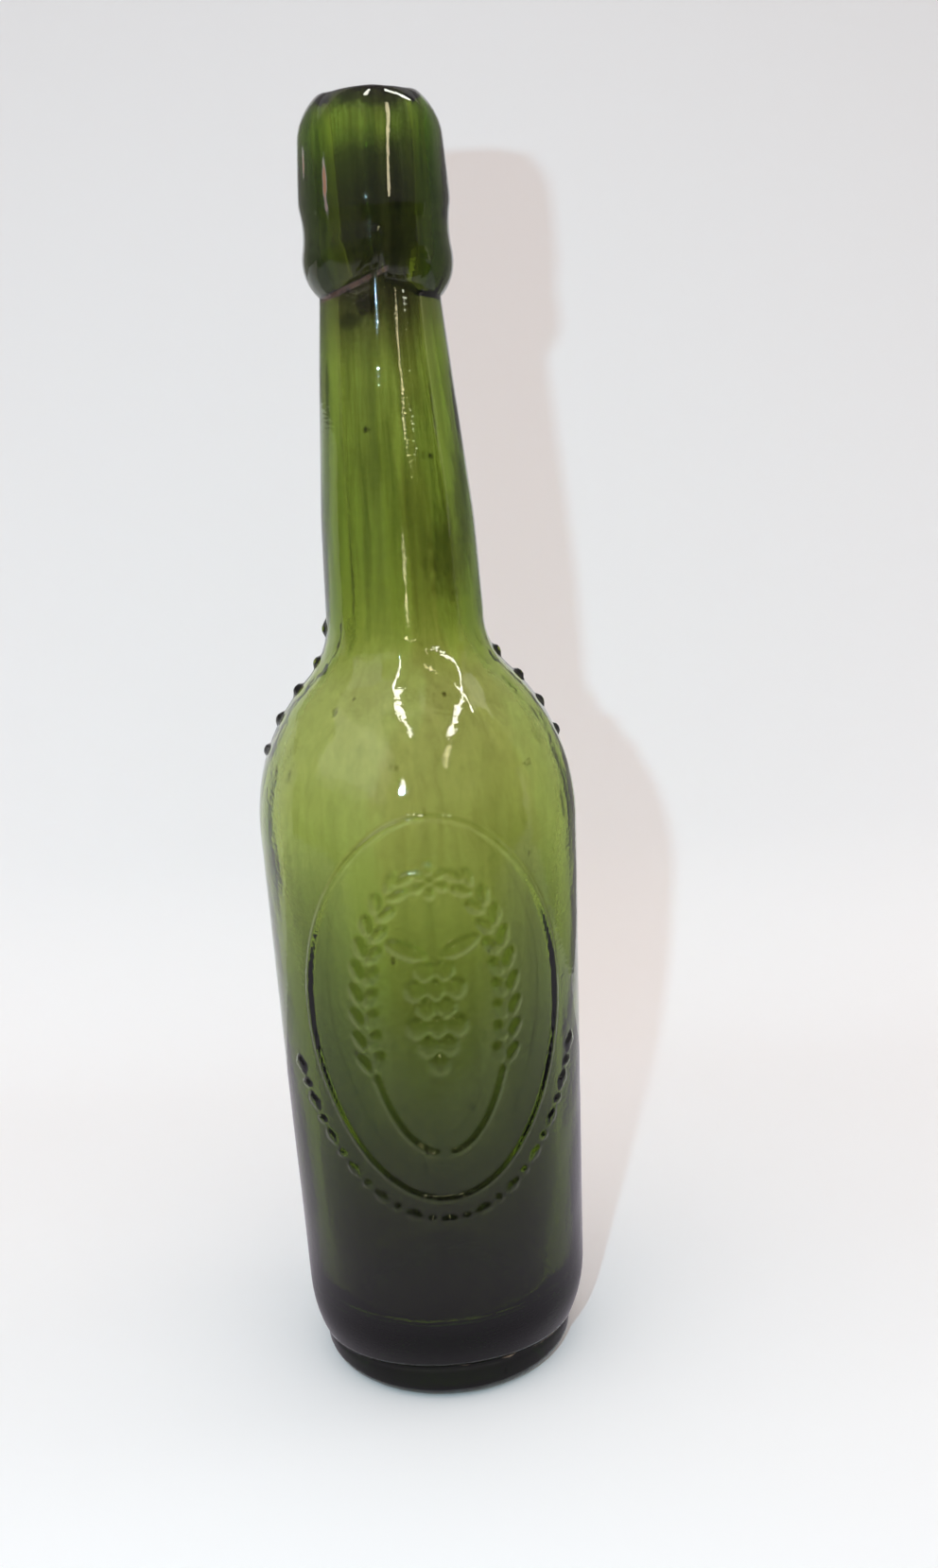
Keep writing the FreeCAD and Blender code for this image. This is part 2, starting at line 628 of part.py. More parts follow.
def raise_from(base, skin, name):
    """Carry flat outlines forward and keep what lies in the skin."""
    push = doc.addObject("Part::Extrusion", name + "Push")
    push.Base = base
    push.DirMode = "Custom"
    push.Dir = FreeCAD.Vector(0, -1, 0)
    push.setExpression("LengthFwd", "Sizes.body_radius + 2 * Sizes.relief_height")
    push.Solid = True
    relief = doc.addObject("Part::Common", name)
    relief.Base = push
    relief.Tool = skin
    return relief


def make_ring(skin):
    """The raised oval ring round the panel."""
    edges = []
    for name, sign in (("RingOuterEdge", "+"), ("RingInnerEdge", "-")):
        edge = doc.addObject("Part::Ellipse", name)
        edge.setExpression("MajorRadius", "Sizes.ring_half_height %s Sizes.ring_width / 2" % sign)
        edge.setExpression("MinorRadius", "Sizes.ring_half_width %s Sizes.ring_width / 2" % sign)
        edge.setExpression("Placement.Base.z", "Sizes.ring_centre_height")
        standing = FreeCAD.Rotation(FreeCAD.Vector(0, 0, 1), FreeCAD.Vector(1, 0, 0),
                                    FreeCAD.Vector(0, 1, 0), "ZXY")
        edge.Placement.Rotation = standing
        edges.append(edge)
    face = doc.addObject("Part::Face", "RingFace")
    face.Sources = edges
    face.FaceMakerClass = "Part::FaceMakerBullseye"
    return raise_from(face, skin, "Ring")


def make_motif(skin):
    """Barley, hop, rosette and border, as flat outlines that are raised together."""
    outlines = doc.addObject("Part::Feature", "MotifOutlines")
    first, last = STEM_ANGLES
    stems = [stem_face(first, last), stem_face(-180 - last, -180 - first)]
    outlines.Shape = Part.makeCompound(barley(1) + barley(-1) + stems + hop() + rosette() + border())
    return raise_from(outlines, skin, "Motif")


def down_shoulder(shoulder, fillet, distance):
    """A place on the outside, a distance down from the root of the neck.

    Returns its radius, its height and the slope of the surface's normal, in radians.
    """
    join = math.acos((fillet.Center.x - shoulder.Center.x) / (fillet.Radius + shoulder.Radius))
    taper = math.radians(size("neck_lower_taper"))
    fillet_length = fillet.Radius * (join - taper)
    if distance < fillet_length:
        slope = taper + distance / fillet.Radius
        centre, reach = fillet.Center, -fillet.Radius
    else:
        slope = join - (distance - fillet_length) / shoulder.Radius
        centre, reach = shoulder.Center, shoulder.Radius
    return centre.x + reach * math.cos(slope), centre.y + reach * math.sin(slope), slope


def make_beads(shoulder, fillet):
    """Raised beads in a line down each side of the shoulder."""
    beads = []
    for name, side, first in (("LeftBead", -1, 0), ("RightBead", 1, 1)):
        turn = FreeCAD.Rotation(FreeCAD.Vector(0, 0, 1), side * size("bead_turn"))
        for index in range(first, BEADS):
            distance = size("bead_first") + size("bead_pitch") * index
            radius, height, slope = down_shoulder(shoulder, fillet, distance)
            normal = FreeCAD.Vector(0, -math.cos(slope), math.sin(slope))
            along = FreeCAD.Vector(0, -math.sin(slope), -math.cos(slope))
            lie = FreeCAD.Rotation(along, normal.cross(along), normal, "ZXY")
            bead = doc.addObject("Part::Ellipsoid", name)
            bead.setExpression("Radius1", "Sizes.bead_height")
            bead.setExpression("Radius2", "Sizes.bead_length / 2")
            bead.setExpression("Radius3", "Sizes.bead_width / 2")
            centre = turn.multVec(FreeCAD.Vector(0, -radius, height))
            bead.Placement = FreeCAD.Placement(centre, turn.multiply(lie))
            beads.append(bead)
    return beads


def check_objects():
    """Stop if any object of the document failed to build."""
    failed = [item.Name for item in doc.Objects if "Invalid" in item.State or "Error" in item.State]
    if failed:
        raise RuntimeError("not built: " + ", ".join(failed))


def export_node(node):
    """Write one finished piece, named by its label."""
    shape = node.Shape
    if shape.isNull() or not shape.isValid() or len(shape.Solids) != 1:
        raise RuntimeError(node.Label + " is not one valid solid")
    shape.exportStep("parts/%s.step" % node.Label)
    box = shape.BoundBox
    print("%s %.1f cm3, x %.2f %.2f, y %.2f %.2f, z %.2f %.2f" % (
        node.Label, shape.Volume / 1000, box.XMin, box.XMax, box.YMin, box.YMax, box.ZMin, box.ZMax))


glass = doc.addObject("PartDesign::Body", "Glass")
outer_section, shoulder_index, fillet_index = draw_outside(glass)
spin(glass, "PartDesign::Revolution", outer_section, "Outside")
full_volume = glass.Shape.Volume
spin(glass, "PartDesign::Groove", draw_inside(glass), "Hollow")
if glass.Shape.Volume > full_volume / 2:
    raise RuntimeError("the hollow was not cut")

skin = doc.addObject("PartDesign::Body", "Skin")
spin(skin, "PartDesign::Revolution", draw_skin(skin), "Shell")

bottle = doc.addObject("Part::MultiFuse", "Bottle")
bottle.Shapes = [glass, make_ring(skin), make_motif(skin)] + make_beads(
    outer_section.Geometry[shoulder_index], outer_section.Geometry[fillet_index])
bottle.Label = "bottle"
doc.recompute()
check_objects()
os.makedirs("parts", exist_ok=True)
export_node(bottle)
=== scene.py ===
import math

import bpy
import numpy as np
from mathutils import Matrix, Vector


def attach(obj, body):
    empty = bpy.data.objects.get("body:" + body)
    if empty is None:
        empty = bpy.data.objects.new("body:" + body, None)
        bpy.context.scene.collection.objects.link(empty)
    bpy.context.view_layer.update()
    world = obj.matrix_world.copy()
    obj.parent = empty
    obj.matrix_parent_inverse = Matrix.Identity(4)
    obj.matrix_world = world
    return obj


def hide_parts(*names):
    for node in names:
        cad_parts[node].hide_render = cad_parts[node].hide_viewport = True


# An empty beer bottle of thick, uneven green glass, standing in a pale sweep.
# The glass is one closed mesh: the outside, the crown of the rim and the inside of one
# half-section, spun round, with raised work on the front.

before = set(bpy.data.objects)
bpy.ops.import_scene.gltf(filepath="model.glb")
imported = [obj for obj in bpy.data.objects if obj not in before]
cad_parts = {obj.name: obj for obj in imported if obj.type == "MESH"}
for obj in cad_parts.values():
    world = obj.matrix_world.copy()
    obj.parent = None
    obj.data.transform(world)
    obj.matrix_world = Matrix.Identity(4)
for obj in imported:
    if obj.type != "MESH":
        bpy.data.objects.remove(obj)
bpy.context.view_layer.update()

MM = 0.001
TINY = 1e-6

# ---------------------------------------------------------------- section, in millimetres
# The outside has part.py's sizes. Only the body is 0.1 slimmer, which leaves room for waves.
BODY_HEIGHT = 131.0
KNEE_HEIGHT = BODY_HEIGHT + 69.0
LIP_BASE = KNEE_HEIGHT + 44.8
RIM = LIP_BASE + 40.2
BODY_RADIUS = 35.4
HEEL_RADIUS = BODY_RADIUS - 2.3
HEEL_HEIGHT = 20.0
HEEL_ROUND = 33.0
SHOULDER_ROUND = 47.8
NECK_FILLET = 18.2
FOOT_RADIUS = HEEL_RADIUS - 3.6
FOOT_HEIGHT = 6.2
FOOT_EDGE = 4.0
SEAM_DEPTH = 0.45            # groove between the foot ring and the heel
SEAM_GAP = 1.2
KICK_RADIUS = 22.0           # push-up under the base
KICK_DEPTH = 5.0
KNEE_RADIUS = 16.3
LOWER_TAPER = math.radians(2.05)
KNEE_ROUND = 150.0
NECK_TOP_RADIUS = 12.5
LIP_OVERHANG = 3.0
BAND_ROUND = 10.0            # lower band of the lip
WAIST_DEPTH = 0.6            # groove between it and the upper part
WAIST_HEIGHT = RIM - 27.0
LIP_STEP = 0.45
LIP_SIDE_HEIGHT = RIM - 21.0
LIP_TAPER = math.radians(3.5)
TOP_ROUND = 13.5
RIM_ROUND = 1.6
# The inside is thicker than part.py's at the heel, in the neck and in the base: the photo's glass
# is as dark there.
WALL = 4.0
LOW_WALL = 6.5
NECK_WALL = 5.6
BORE_RADIUS = 7.8
BORE_LENGTH = 30.0
BASE_THICKNESS = 10.0
FLOOR_ROUND = 68.0
INNER_HEEL_ROUND = 12.0

# ---------------------------------------------------------------- raised work, from part.py
RELIEF = 0.55                # 0.05 more than part.py's, to show as clearly as the photo's
RING_HEIGHT = 98.5
RING_HALF = (26.8, 44.0)
RING_WIDTH = 1.0
STEM_HALF = (15.5, 33.0)
STEM_WIDTH = 1.1
STEM_ANGLES = (-84, -26)
EAR_ANGLES = (-20, 62)
GRAIN = (4.6, 2.0)
GRAIN_PAIRS = 9
GRAIN_LEAN = 24
TIP_TURN = 9
SCALE = (4.8, 4.0)
SCALE_GAP = 0.3
HOP_TOP = 109.0
HOP_ROWS = (2, 3, 2, 3, 2, 1)
LEAF = (9.0, 3.4)
LEAF_LEAN = 24
LEAF_REACH = 0.62
ROSETTE_HEIGHT = 129.0
PETAL = (2.9, 1.7)
PETALS = 6
BORDER_GAP = 5.2
BORDER_ANGLES = (-160, -20)
LOZENGES = 13
LOZENGE = (4.4, 2.3)
DOT = 1.7
BEAD = (3.2, 2.6, 1.15)      # length, width, height
BEAD_PITCH = 7.75
BEAD_FIRST = 1.2
BEAD_TURN = 96.0
BEADS = 5


# ---------------------------------------------------------------- half-section
def step_from(centre, radius, angle):
    """A point so far from a centre in a direction."""
    return centre[0] + radius * math.cos(angle), centre[1] + radius * math.sin(angle)


class Section:
    """A half-section walked from point to point, as (radius, height), in even steps."""

    def __init__(self, start):
        self.points = [start]

    def line(self, end, step):
        start = self.points[-1]
        count = max(1, round(math.dist(start, end) / step))
        for index in range(1, count + 1):
            share = index / count
            self.points.append((start[0] + (end[0] - start[0]) * share,
                                start[1] + (end[1] - start[1]) * share))
        return self

    def arc(self, centre, end, step):
        """The short way round a centre from the last point to end."""
        start = self.points[-1]
        radius = math.dist(start, centre)
        first = math.atan2(start[1] - centre[1], start[0] - centre[0])
        last = math.atan2(end[1] - centre[1], end[0] - centre[0])
        sweep = (last - first + math.pi) % (2 * math.pi) - math.pi
        count = max(1, round(abs(sweep) * radius / step))
        for index in range(1, count + 1):
            self.points.append(step_from(centre, radius, first + sweep * index / count))
        return self

    def array(self):
        return np.array(self.points)


def neck_blend(side_centre, side_radius, knee, taper, fillet):
    """Where an inward curve touches the shoulder's arc and the neck's line, and its centre."""
    out = (math.cos(taper), math.sin(taper))
    down = (out[1], -out[0])
    reach = (knee[0] + fillet * out[0] - side_centre[0], knee[1] + fillet * out[1] - side_centre[1])
    along = reach[0] * down[0] + reach[1] * down[1]
    square = along ** 2 - reach[0] ** 2 - reach[1] ** 2 + (side_radius + fillet) ** 2
    travel = -along - math.sqrt(square)
    root = (knee[0] + down[0] * travel, knee[1] + down[1] * travel)
    centre = (root[0] + fillet * out[0], root[1] + fillet * out[1])
    share = side_radius / (side_radius + fillet)
    touch = (side_centre[0] + (centre[0] - side_centre[0]) * share,
             side_centre[1] + (centre[1] - side_centre[1]) * share)
    return touch, centre, root


def side_normal(low, high):
    """The outward normal of the body's side, which leans out a little towards the shoulder."""
    length = math.dist(low, high)
    return (high[1] - low[1]) / length, -(high[0] - low[0]) / length


SIDE_LOW, SIDE_HIGH = (HEEL_RADIUS, HEEL_HEIGHT), (BODY_RADIUS, BODY_HEIGHT)
SIDE_OUT = side_normal(SIDE_LOW, SIDE_HIGH)
SHOULDER_CENTRE = (SIDE_HIGH[0] - SHOULDER_ROUND * SIDE_OUT[0],
                   SIDE_HIGH[1] - SHOULDER_ROUND * SIDE_OUT[1])
KNEE = (KNEE_RADIUS, KNEE_HEIGHT)
TOUCH, FILLET_CENTRE, ROOT = neck_blend(SHOULDER_CENTRE, SHOULDER_ROUND, KNEE, LOWER_TAPER,
                                        NECK_FILLET)


def outside_base(step):
    """The push-up, the bearing ring and the foot ring's rounded edge."""
    kick_centre = (0.0, KICK_DEPTH - (KICK_RADIUS ** 2 + KICK_DEPTH ** 2) / (2 * KICK_DEPTH))
    section = Section((0.0, KICK_DEPTH)).arc(kick_centre, (KICK_RADIUS, 0.0), step)
    section.line((FOOT_RADIUS - FOOT_EDGE, 0.0), step)
    return section.arc((FOOT_RADIUS - FOOT_EDGE, FOOT_EDGE), (FOOT_RADIUS, FOOT_EDGE), step / 3)


def outside_body(fine, coarse):
    """From the foot ring up over heel, side and shoulder to the root of the neck."""
    section = Section((FOOT_RADIUS, FOOT_EDGE)).line((FOOT_RADIUS, FOOT_HEIGHT), coarse)
    section.line((FOOT_RADIUS - SEAM_DEPTH, FOOT_HEIGHT + SEAM_GAP / 2), fine)
    centre = (HEEL_RADIUS - HEEL_ROUND * SIDE_OUT[0], HEEL_HEIGHT - HEEL_ROUND * SIDE_OUT[1])
    heel_low = FOOT_HEIGHT + SEAM_GAP
    reach = math.sqrt(HEEL_ROUND ** 2 - (heel_low - centre[1]) ** 2)
    section.line((centre[0] + reach, heel_low), fine)
    section.arc(centre, SIDE_LOW, coarse)
    carved_low = RING_HEIGHT - RING_HALF[1] - BORDER_GAP - LOZENGE[1]
    share = (carved_low - HEEL_HEIGHT) / (BODY_HEIGHT - HEEL_HEIGHT)
    section.line((HEEL_RADIUS + (BODY_RADIUS - HEEL_RADIUS) * share, carved_low), coarse)
    section.line(SIDE_HIGH, fine)
    carved_high = RING_HEIGHT + RING_HALF[1] + 2 * RING_WIDTH
    lean = math.asin((carved_high - SHOULDER_CENTRE[1]) / SHOULDER_ROUND)
    section.arc(SHOULDER_CENTRE, step_from(SHOULDER_CENTRE, SHOULDER_ROUND, lean), fine)
    section.arc(SHOULDER_CENTRE, TOUCH, 1.6 * fine)
    return section.arc(FILLET_CENTRE, ROOT, 1.6 * fine)


def outside_neck(step, lip_step):
    """From the neck's root up to the crown of the rim."""
    upper = math.atan2(KNEE_RADIUS - NECK_TOP_RADIUS, LIP_BASE - KNEE_HEIGHT)
    tangent = KNEE_ROUND * math.tan((upper - LOWER_TAPER) / 2)
    knee_low = (KNEE[0] + tangent * math.sin(LOWER_TAPER),
                KNEE[1] - tangent * math.cos(LOWER_TAPER))
    knee_high = (KNEE[0] - tangent * math.sin(upper), KNEE[1] + tangent * math.cos(upper))
    knee_centre = step_from(knee_low, -KNEE_ROUND, LOWER_TAPER)
    section = Section(ROOT).line(knee_low, step).arc(knee_centre, knee_high, step)
    section.line((NECK_TOP_RADIUS, LIP_BASE), step)

    band = NECK_TOP_RADIUS + LIP_OVERHANG
    waist = band - WAIST_DEPTH
    lip = waist + LIP_STEP
    inset = NECK_TOP_RADIUS - band + BAND_ROUND
    band_centre = (band - BAND_ROUND, LIP_BASE + math.sqrt(BAND_ROUND ** 2 - inset ** 2))
    across, rise = waist - band_centre[0], WAIST_HEIGHT - band_centre[1]
    waist_round = (across ** 2 + rise ** 2 - BAND_ROUND ** 2) / (2 * (BAND_ROUND - across))
    waist_centre = (waist + waist_round, WAIST_HEIGHT)
    out = (math.cos(LIP_TAPER), math.sin(LIP_TAPER))
    gap = (lip - waist_centre[0], LIP_SIDE_HEIGHT - waist_centre[1])
    step_round = (gap[0] ** 2 + gap[1] ** 2 - waist_round ** 2) / (
        2 * (gap[0] * out[0] + gap[1] * out[1] + waist_round))
    step_centre = (lip - step_round * out[0], LIP_SIDE_HEIGHT - step_round * out[1])
    crown = (BORE_RADIUS + RIM_ROUND, RIM - RIM_ROUND)
    level = (crown[0] - lip) * out[0] + (crown[1] - LIP_SIDE_HEIGHT) * out[1]
    turn = LIP_TAPER - math.acos((-TOP_ROUND - level) / (TOP_ROUND - RIM_ROUND))
    top_centre = step_from(crown, TOP_ROUND - RIM_ROUND, turn)

    def meet(first, second, radius):
        way = math.atan2(second[1] - first[1], second[0] - first[0])
        return step_from(first, radius, way)

    section.arc(band_centre, meet(band_centre, waist_centre, BAND_ROUND), lip_step)
    section.arc(waist_centre, meet(waist_centre, step_centre, waist_round), lip_step)
    section.arc(step_centre, (lip, LIP_SIDE_HEIGHT), lip_step)
    section.line(step_from(top_centre, TOP_ROUND, LIP_TAPER), lip_step)
    section.arc(top_centre, meet(top_centre, crown, TOP_ROUND), lip_step)
    return section.arc(crown, (crown[0], RIM), lip_step / 2)


def inside(step):
    """From the crown down the bore and the hollow to the middle of the floor."""
    crown = (BORE_RADIUS + RIM_ROUND, RIM - RIM_ROUND)
    knee = (KNEE_RADIUS - NECK_WALL, KNEE_HEIGHT)
    side_high = (BODY_RADIUS - WALL, BODY_HEIGHT)
    side_low = (HEEL_RADIUS - LOW_WALL, HEEL_HEIGHT)
    out = side_normal(side_low, side_high)
    round_in = SHOULDER_ROUND - WALL
    side_centre = (side_high[0] - round_in * out[0], side_high[1] - round_in * out[1])
    touch, fillet_centre, root = neck_blend(side_centre, round_in, knee, LOWER_TAPER,
                                            NECK_FILLET + WALL)
    section = Section((crown[0], RIM)).arc(crown, (BORE_RADIUS, crown[1]), step / 4)
    section.line((BORE_RADIUS, RIM - BORE_LENGTH), step).line(knee, step).line(root, step)
    section.arc(fillet_centre, touch, step).arc(side_centre, side_high, step)

    floor_centre = (0.0, KICK_DEPTH + BASE_THICKNESS - FLOOR_ROUND)
    reach = FLOOR_ROUND + INNER_HEEL_ROUND

    def heel_at(height):
        """How far a heel curve at this height is from touching the floor's dome."""
        share = (height - side_low[1]) / (side_high[1] - side_low[1])
        radius = side_low[0] + (side_high[0] - side_low[0]) * share - INNER_HEEL_ROUND
        return radius, math.hypot(radius, height - floor_centre[1]) - reach

    low, high = 0.0, BODY_HEIGHT
    while high - low > TINY:
        middle = (low + high) / 2
        low, high = (middle, high) if heel_at(middle)[1] < 0 else (low, middle)
    heel_centre = (heel_at(low)[0], low)
    section.line(step_from(heel_centre, INNER_HEEL_ROUND, math.atan2(out[1], out[0])), step)
    way = math.atan2(heel_centre[1] - floor_centre[1], heel_centre[0])
    section.arc(heel_centre, step_from(floor_centre, FLOOR_ROUND, way), step / 2)
    return section.arc(floor_centre, (0.0, KICK_DEPTH + BASE_THICKNESS), step)


# ---------------------------------------------------------------- raised work
def on_oval(half, degrees):
    """A point of an oval about the ring's middle, and the oval's direction there."""
    angle = math.radians(degrees)
    point = (half[0] * math.cos(angle), RING_HEIGHT + half[1] * math.sin(angle))
    along = math.degrees(math.atan2(half[1] * math.cos(angle), -half[0] * math.sin(angle)))
    return point, along


def even_angles(half, first, last, count):
    """Angles that divide a stretch of an oval into even lengths."""
    angles = np.linspace(first, last, 401)
    points = np.array([on_oval(half, angle)[0] for angle in angles])
    lengths = np.concatenate([[0], np.cumsum(np.linalg.norm(np.diff(points, axis=0), axis=1))])
    return np.interp(np.linspace(0, lengths[-1], count), lengths, angles)


def grown(half, by):
    return half[0] + by, half[1] + by


def border_places():
    """Number, centre and direction of the border's lozenges and dots, on the right half."""
    half = grown(RING_HALF, BORDER_GAP)
    places = [(index, *on_oval(half, angle))
              for index, angle in enumerate(even_angles(half, *BORDER_ANGLES, 2 * LOZENGES - 1))]
    return [place for place in places if place[1][0] > -TINY]


def ovals():
    """Centre, length, width and direction of every raised oval on the right half and middle."""
    made = []
    from_stem = (GRAIN[1] + STEM_WIDTH) / 2
    angles = even_angles(STEM_HALF, *EAR_ANGLES, GRAIN_PAIRS)
    for angle in angles:
        for hand in (-1, 1):
            point, along = on_oval(grown(STEM_HALF, hand * from_stem), angle)
            made.append((point, GRAIN, along - hand * GRAIN_LEAN))
    point, along = on_oval(STEM_HALF, angles[-1] + TIP_TURN)
    made.append((point, GRAIN, along))
    spread = SCALE[1] + SCALE_GAP
    pitch = SCALE_GAP + SCALE[0] * math.sqrt(1 - (spread / (2 * SCALE[1])) ** 2)
    for row, count in enumerate(HOP_ROWS):
        for place in range(count):
            across = spread * (place - (count - 1) / 2)
            if across >= 0:
                made.append(((across, HOP_TOP - pitch * row), SCALE, 90))
    made.append(((LEAF[0] * LEAF_REACH, HOP_TOP + SCALE[0]), LEAF, LEAF_LEAN))
    reach = (DOT + PETAL[0]) / 2 + SCALE_GAP
    for petal in range(PETALS):
        way = math.radians(90 + 360 * petal / PETALS)
        across = reach * math.cos(way)
        if across > -TINY:
            made.append(((across, ROSETTE_HEIGHT + reach * math.sin(way)), PETAL, math.degrees(way)))
    made.append(((0, ROSETTE_HEIGHT), (DOT, DOT), 0))
    made += [(centre, (DOT, DOT), 0) for index, centre, _ in border_places() if index % 2]
    return made


def lozenges():
    return [(centre, LOZENGE, along) for index, centre, along in border_places() if index % 2 == 0]


def ease(value):
    value = np.clip(value, 0, 1)
    return value * value * (3 - 2 * value)


EDGE = 0.32                  # softness of a raised edge, in millimetres
OVAL_DOME, LOZENGE_DOME = 0.3, 0.25      # share of the height that is rounded
STEM_FADE = 2                # degrees over which a stem runs out


def turned_to(x, z, centre, degrees):
    """Coordinates along and across a feature."""
    angle = math.radians(degrees)
    across, up = x - centre[0], z - centre[1]
    return (across * math.cos(angle) + up * math.sin(angle),
            up * math.cos(angle) - across * math.sin(angle))


def relief(x, z):
    """Height of the raised work over the panel, in millimetres, 0 to RELIEF."""
    right = np.abs(x)
    height = np.zeros_like(x)
    for centre, (length, width), degrees in ovals():
        u, v = turned_to(right, z, centre, degrees)
        reach = np.sqrt((2 * u / length) ** 2 + (2 * v / width) ** 2)
        outside = (reach - 1) * min(length, width) / 2
        dome = 1 - OVAL_DOME + OVAL_DOME * np.sqrt(np.clip(1 - reach ** 2, 0, 1))
        height = np.maximum(height, dome * ease(0.5 - outside / EDGE))
    for centre, (length, width), degrees in lozenges():
        u, v = turned_to(right, z, centre, degrees)
        reach = np.abs(2 * u / length) + np.abs(2 * v / width)
        dome = 1 - LOZENGE_DOME * reach.clip(0, 1)
        height = np.maximum(height, dome * ease(0.5 - (reach - 1) * width / 2 / EDGE))
    for half, width, span in ((RING_HALF, RING_WIDTH, None), (STEM_HALF, STEM_WIDTH, STEM_ANGLES)):
        u, v = right / half[0], (z - RING_HEIGHT) / half[1]
        reach = np.sqrt(u * u + v * v) + 1e-9
        slope = np.sqrt((u / half[0]) ** 2 + (v / half[1]) ** 2) / reach
        away = np.abs((reach - 1) / np.maximum(slope, 1e-6)) - width / 2
        line = ease(0.5 - away / EDGE)
        if span:
            angle = np.degrees(np.arctan2(v, u))
            line = line * ease((angle - span[0]) / STEM_FADE + 0.5)
            line = line * ease((span[1] - angle) / STEM_FADE + 0.5)
        height = np.maximum(height, line)
    return RELIEF * height


def wrapped(angle):
    """The same direction between minus and plus half a turn."""
    return (angle + math.pi) % (2 * math.pi) - math.pi


def down_shoulder(distance):
    """A place on the outside, a distance down from the neck's root: radius, height and slope."""
    join = math.atan2(TOUCH[1] - SHOULDER_CENTRE[1], TOUCH[0] - SHOULDER_CENTRE[0])
    fillet_length = NECK_FILLET * (join - LOWER_TAPER)
    if distance < fillet_length:
        slope = LOWER_TAPER + distance / NECK_FILLET
        return (*step_from(FILLET_CENTRE, -NECK_FILLET, slope), slope)
    slope = join - (distance - fillet_length) / SHOULDER_ROUND
    return (*step_from(SHOULDER_CENTRE, SHOULDER_ROUND, slope), slope)


def beads(angle, radius, z):
    """Height of the beads down the sides of the shoulder."""
    height = np.zeros_like(z)
    length, width, rise = BEAD
    for side, first in ((-1, 0), (1, 1)):
        across = radius * wrapped(angle - side * math.radians(BEAD_TURN))
        for index in range(first, BEADS):
            _, level, slope = down_shoulder(BEAD_FIRST + BEAD_PITCH * index)
            along = (z - level) / max(math.cos(slope), 0.3)
            reach = (2 * across / width) ** 2 + (2 * along / length) ** 2
            height = np.maximum(height, rise * np.sqrt(np.clip(1 - reach, 0, 1)))
    return height


# ---------------------------------------------------------------- unevenness of blown glass
random_waves = np.random.default_rng(7)

# Kinds of wave: height in millimetres, how many, whole turns round, wavelengths up the axis.
BODY_WAVES = ((0.045, 6, (1, 4), (60, 200)), (0.02, 8, (5, 18), (12, 50)))
SHOULDER_WAVES = ((0.03, 10, (8, 26), (9, 26)),)
NECK_WAVES = ((0.05, 5, (1, 3), (50, 150)), (0.025, 10, (4, 16), (14, 50)))
LIP_WAVES = ((0.04, 8, (3, 11), (18, 60)),)
HOLLOW_WAVES = ((0.12, 5, (1, 3), (60, 200)), (0.06, 12, (4, 14), (30, 120)))
SUNK = 0.08                  # the body's mean surface lies this far in, so that waves stay inside
MOULD_TURN = BEAD_TURN - 3
MOULD_HEIGHT, MOULD_SOFTNESS = 0.12, 0.35        # the mould's line down each side


def waves(angle, z, count, turns, lengths):
    """A sum of slanting waves, about -1 to 1."""
    total = np.zeros(np.broadcast(angle, z).shape)
    for _ in range(count):
        around = random_waves.integers(turns[0], turns[1] + 1)
        length = random_waves.uniform(*lengths) * random_waves.choice((-1, 1))
        phase = random_waves.uniform(0, 2 * math.pi)
        total += np.sin(around * angle + 2 * math.pi * z / length + phase)
    return total / math.sqrt(count)


def roughness(angle, z, kinds, where=1):
    """Several kinds of wave added up, in millimetres, as strong as where says."""
    return sum(height * where * waves(angle, z, *kind) for height, *kind in kinds)


def body_bumps(angle, points):
    """How far the body's surface stands out from its section, in millimetres."""
    z = points[:, 1:] + np.zeros_like(angle)
    raised = np.where(np.cos(angle) > 0.1, relief(points[:, :1] * np.sin(angle), z), 0)
    free = ease((z - FOOT_HEIGHT - 2) / 10)
    rough = roughness(angle, z, BODY_WAVES)
    rough = rough + roughness(angle, z, SHOULDER_WAVES, ease((z - 128) / 20))
    lines = 0.0
    for side in (-1, 1):
        away = points[:, :1] * wrapped(angle - side * math.radians(MOULD_TURN))
        lines = lines + MOULD_HEIGHT * np.exp(-(away / MOULD_SOFTNESS) ** 2)
    return raised + beads(angle, points[:, :1], z) + free * (rough - SUNK + lines)


def neck_bumps(angle, points):
    z = points[:, 1:] + np.zeros_like(angle)
    rough = roughness(angle, z, NECK_WAVES)
    rough = rough + roughness(angle, z, LIP_WAVES, ease((z - LIP_BASE) / 8))
    return rough * ease((z - ROOT[1]) / 12 + 0.2)


def hollow_bumps(angle, points):
    z = points[:, 1:] + np.zeros_like(angle)
    rough = roughness(angle, z, HOLLOW_WAVES)
    return rough * ease((RIM - 3 - z) / 12) * ease(points[:, :1] / 12)


def lip_edge(angle):
    """How far the uneven lower edge of the applied lip is from its height, round the neck."""
    return np.interp(np.degrees(wrapped(angle)),
                     (-180, -90, -60, -30, 0, 3.5, 35, 62, 90, 130, 180),
                     (0.3, 0.0, 0.9, 3.4, 5.4, 3.3, 1.8, -0.4, -1.0, -0.3, 0.3))


def uneven_lip(angle, z):
    """Move the lip's lower edge up and down, and let the rim sag on one side."""
    edge = lip_edge(angle)
    window = ease((z - (LIP_BASE - 14)) / 14) * ease((WAIST_HEIGHT + 4 - z) / 13)
    z = z + edge * window
    front = np.cos(angle).clip(0)
    sag = 0.10 + 1.15 * ease(1 + np.cos(angle)) - 0.2 * front - 0.6 * front ** 8
    crown = ease((z - (RIM - 16)) / 16)
    return z - sag * crown


def uneven_heel(angle, z):
    """The groove above the foot ring lies higher at the front than at the sides."""
    rise = 2.4 * np.cos(angle).clip(0) ** 2
    return z + rise * ease((z - 3) / 4) * ease((26 - z) / 18)


def drift(z):
    """How far the old bottle's axis strays sideways: at the foot ring, and from the knee to the lip."""
    return -0.35 * (1 - ease((z - 6) / 16)) - 0.82 * ease((z - 178) / 62)


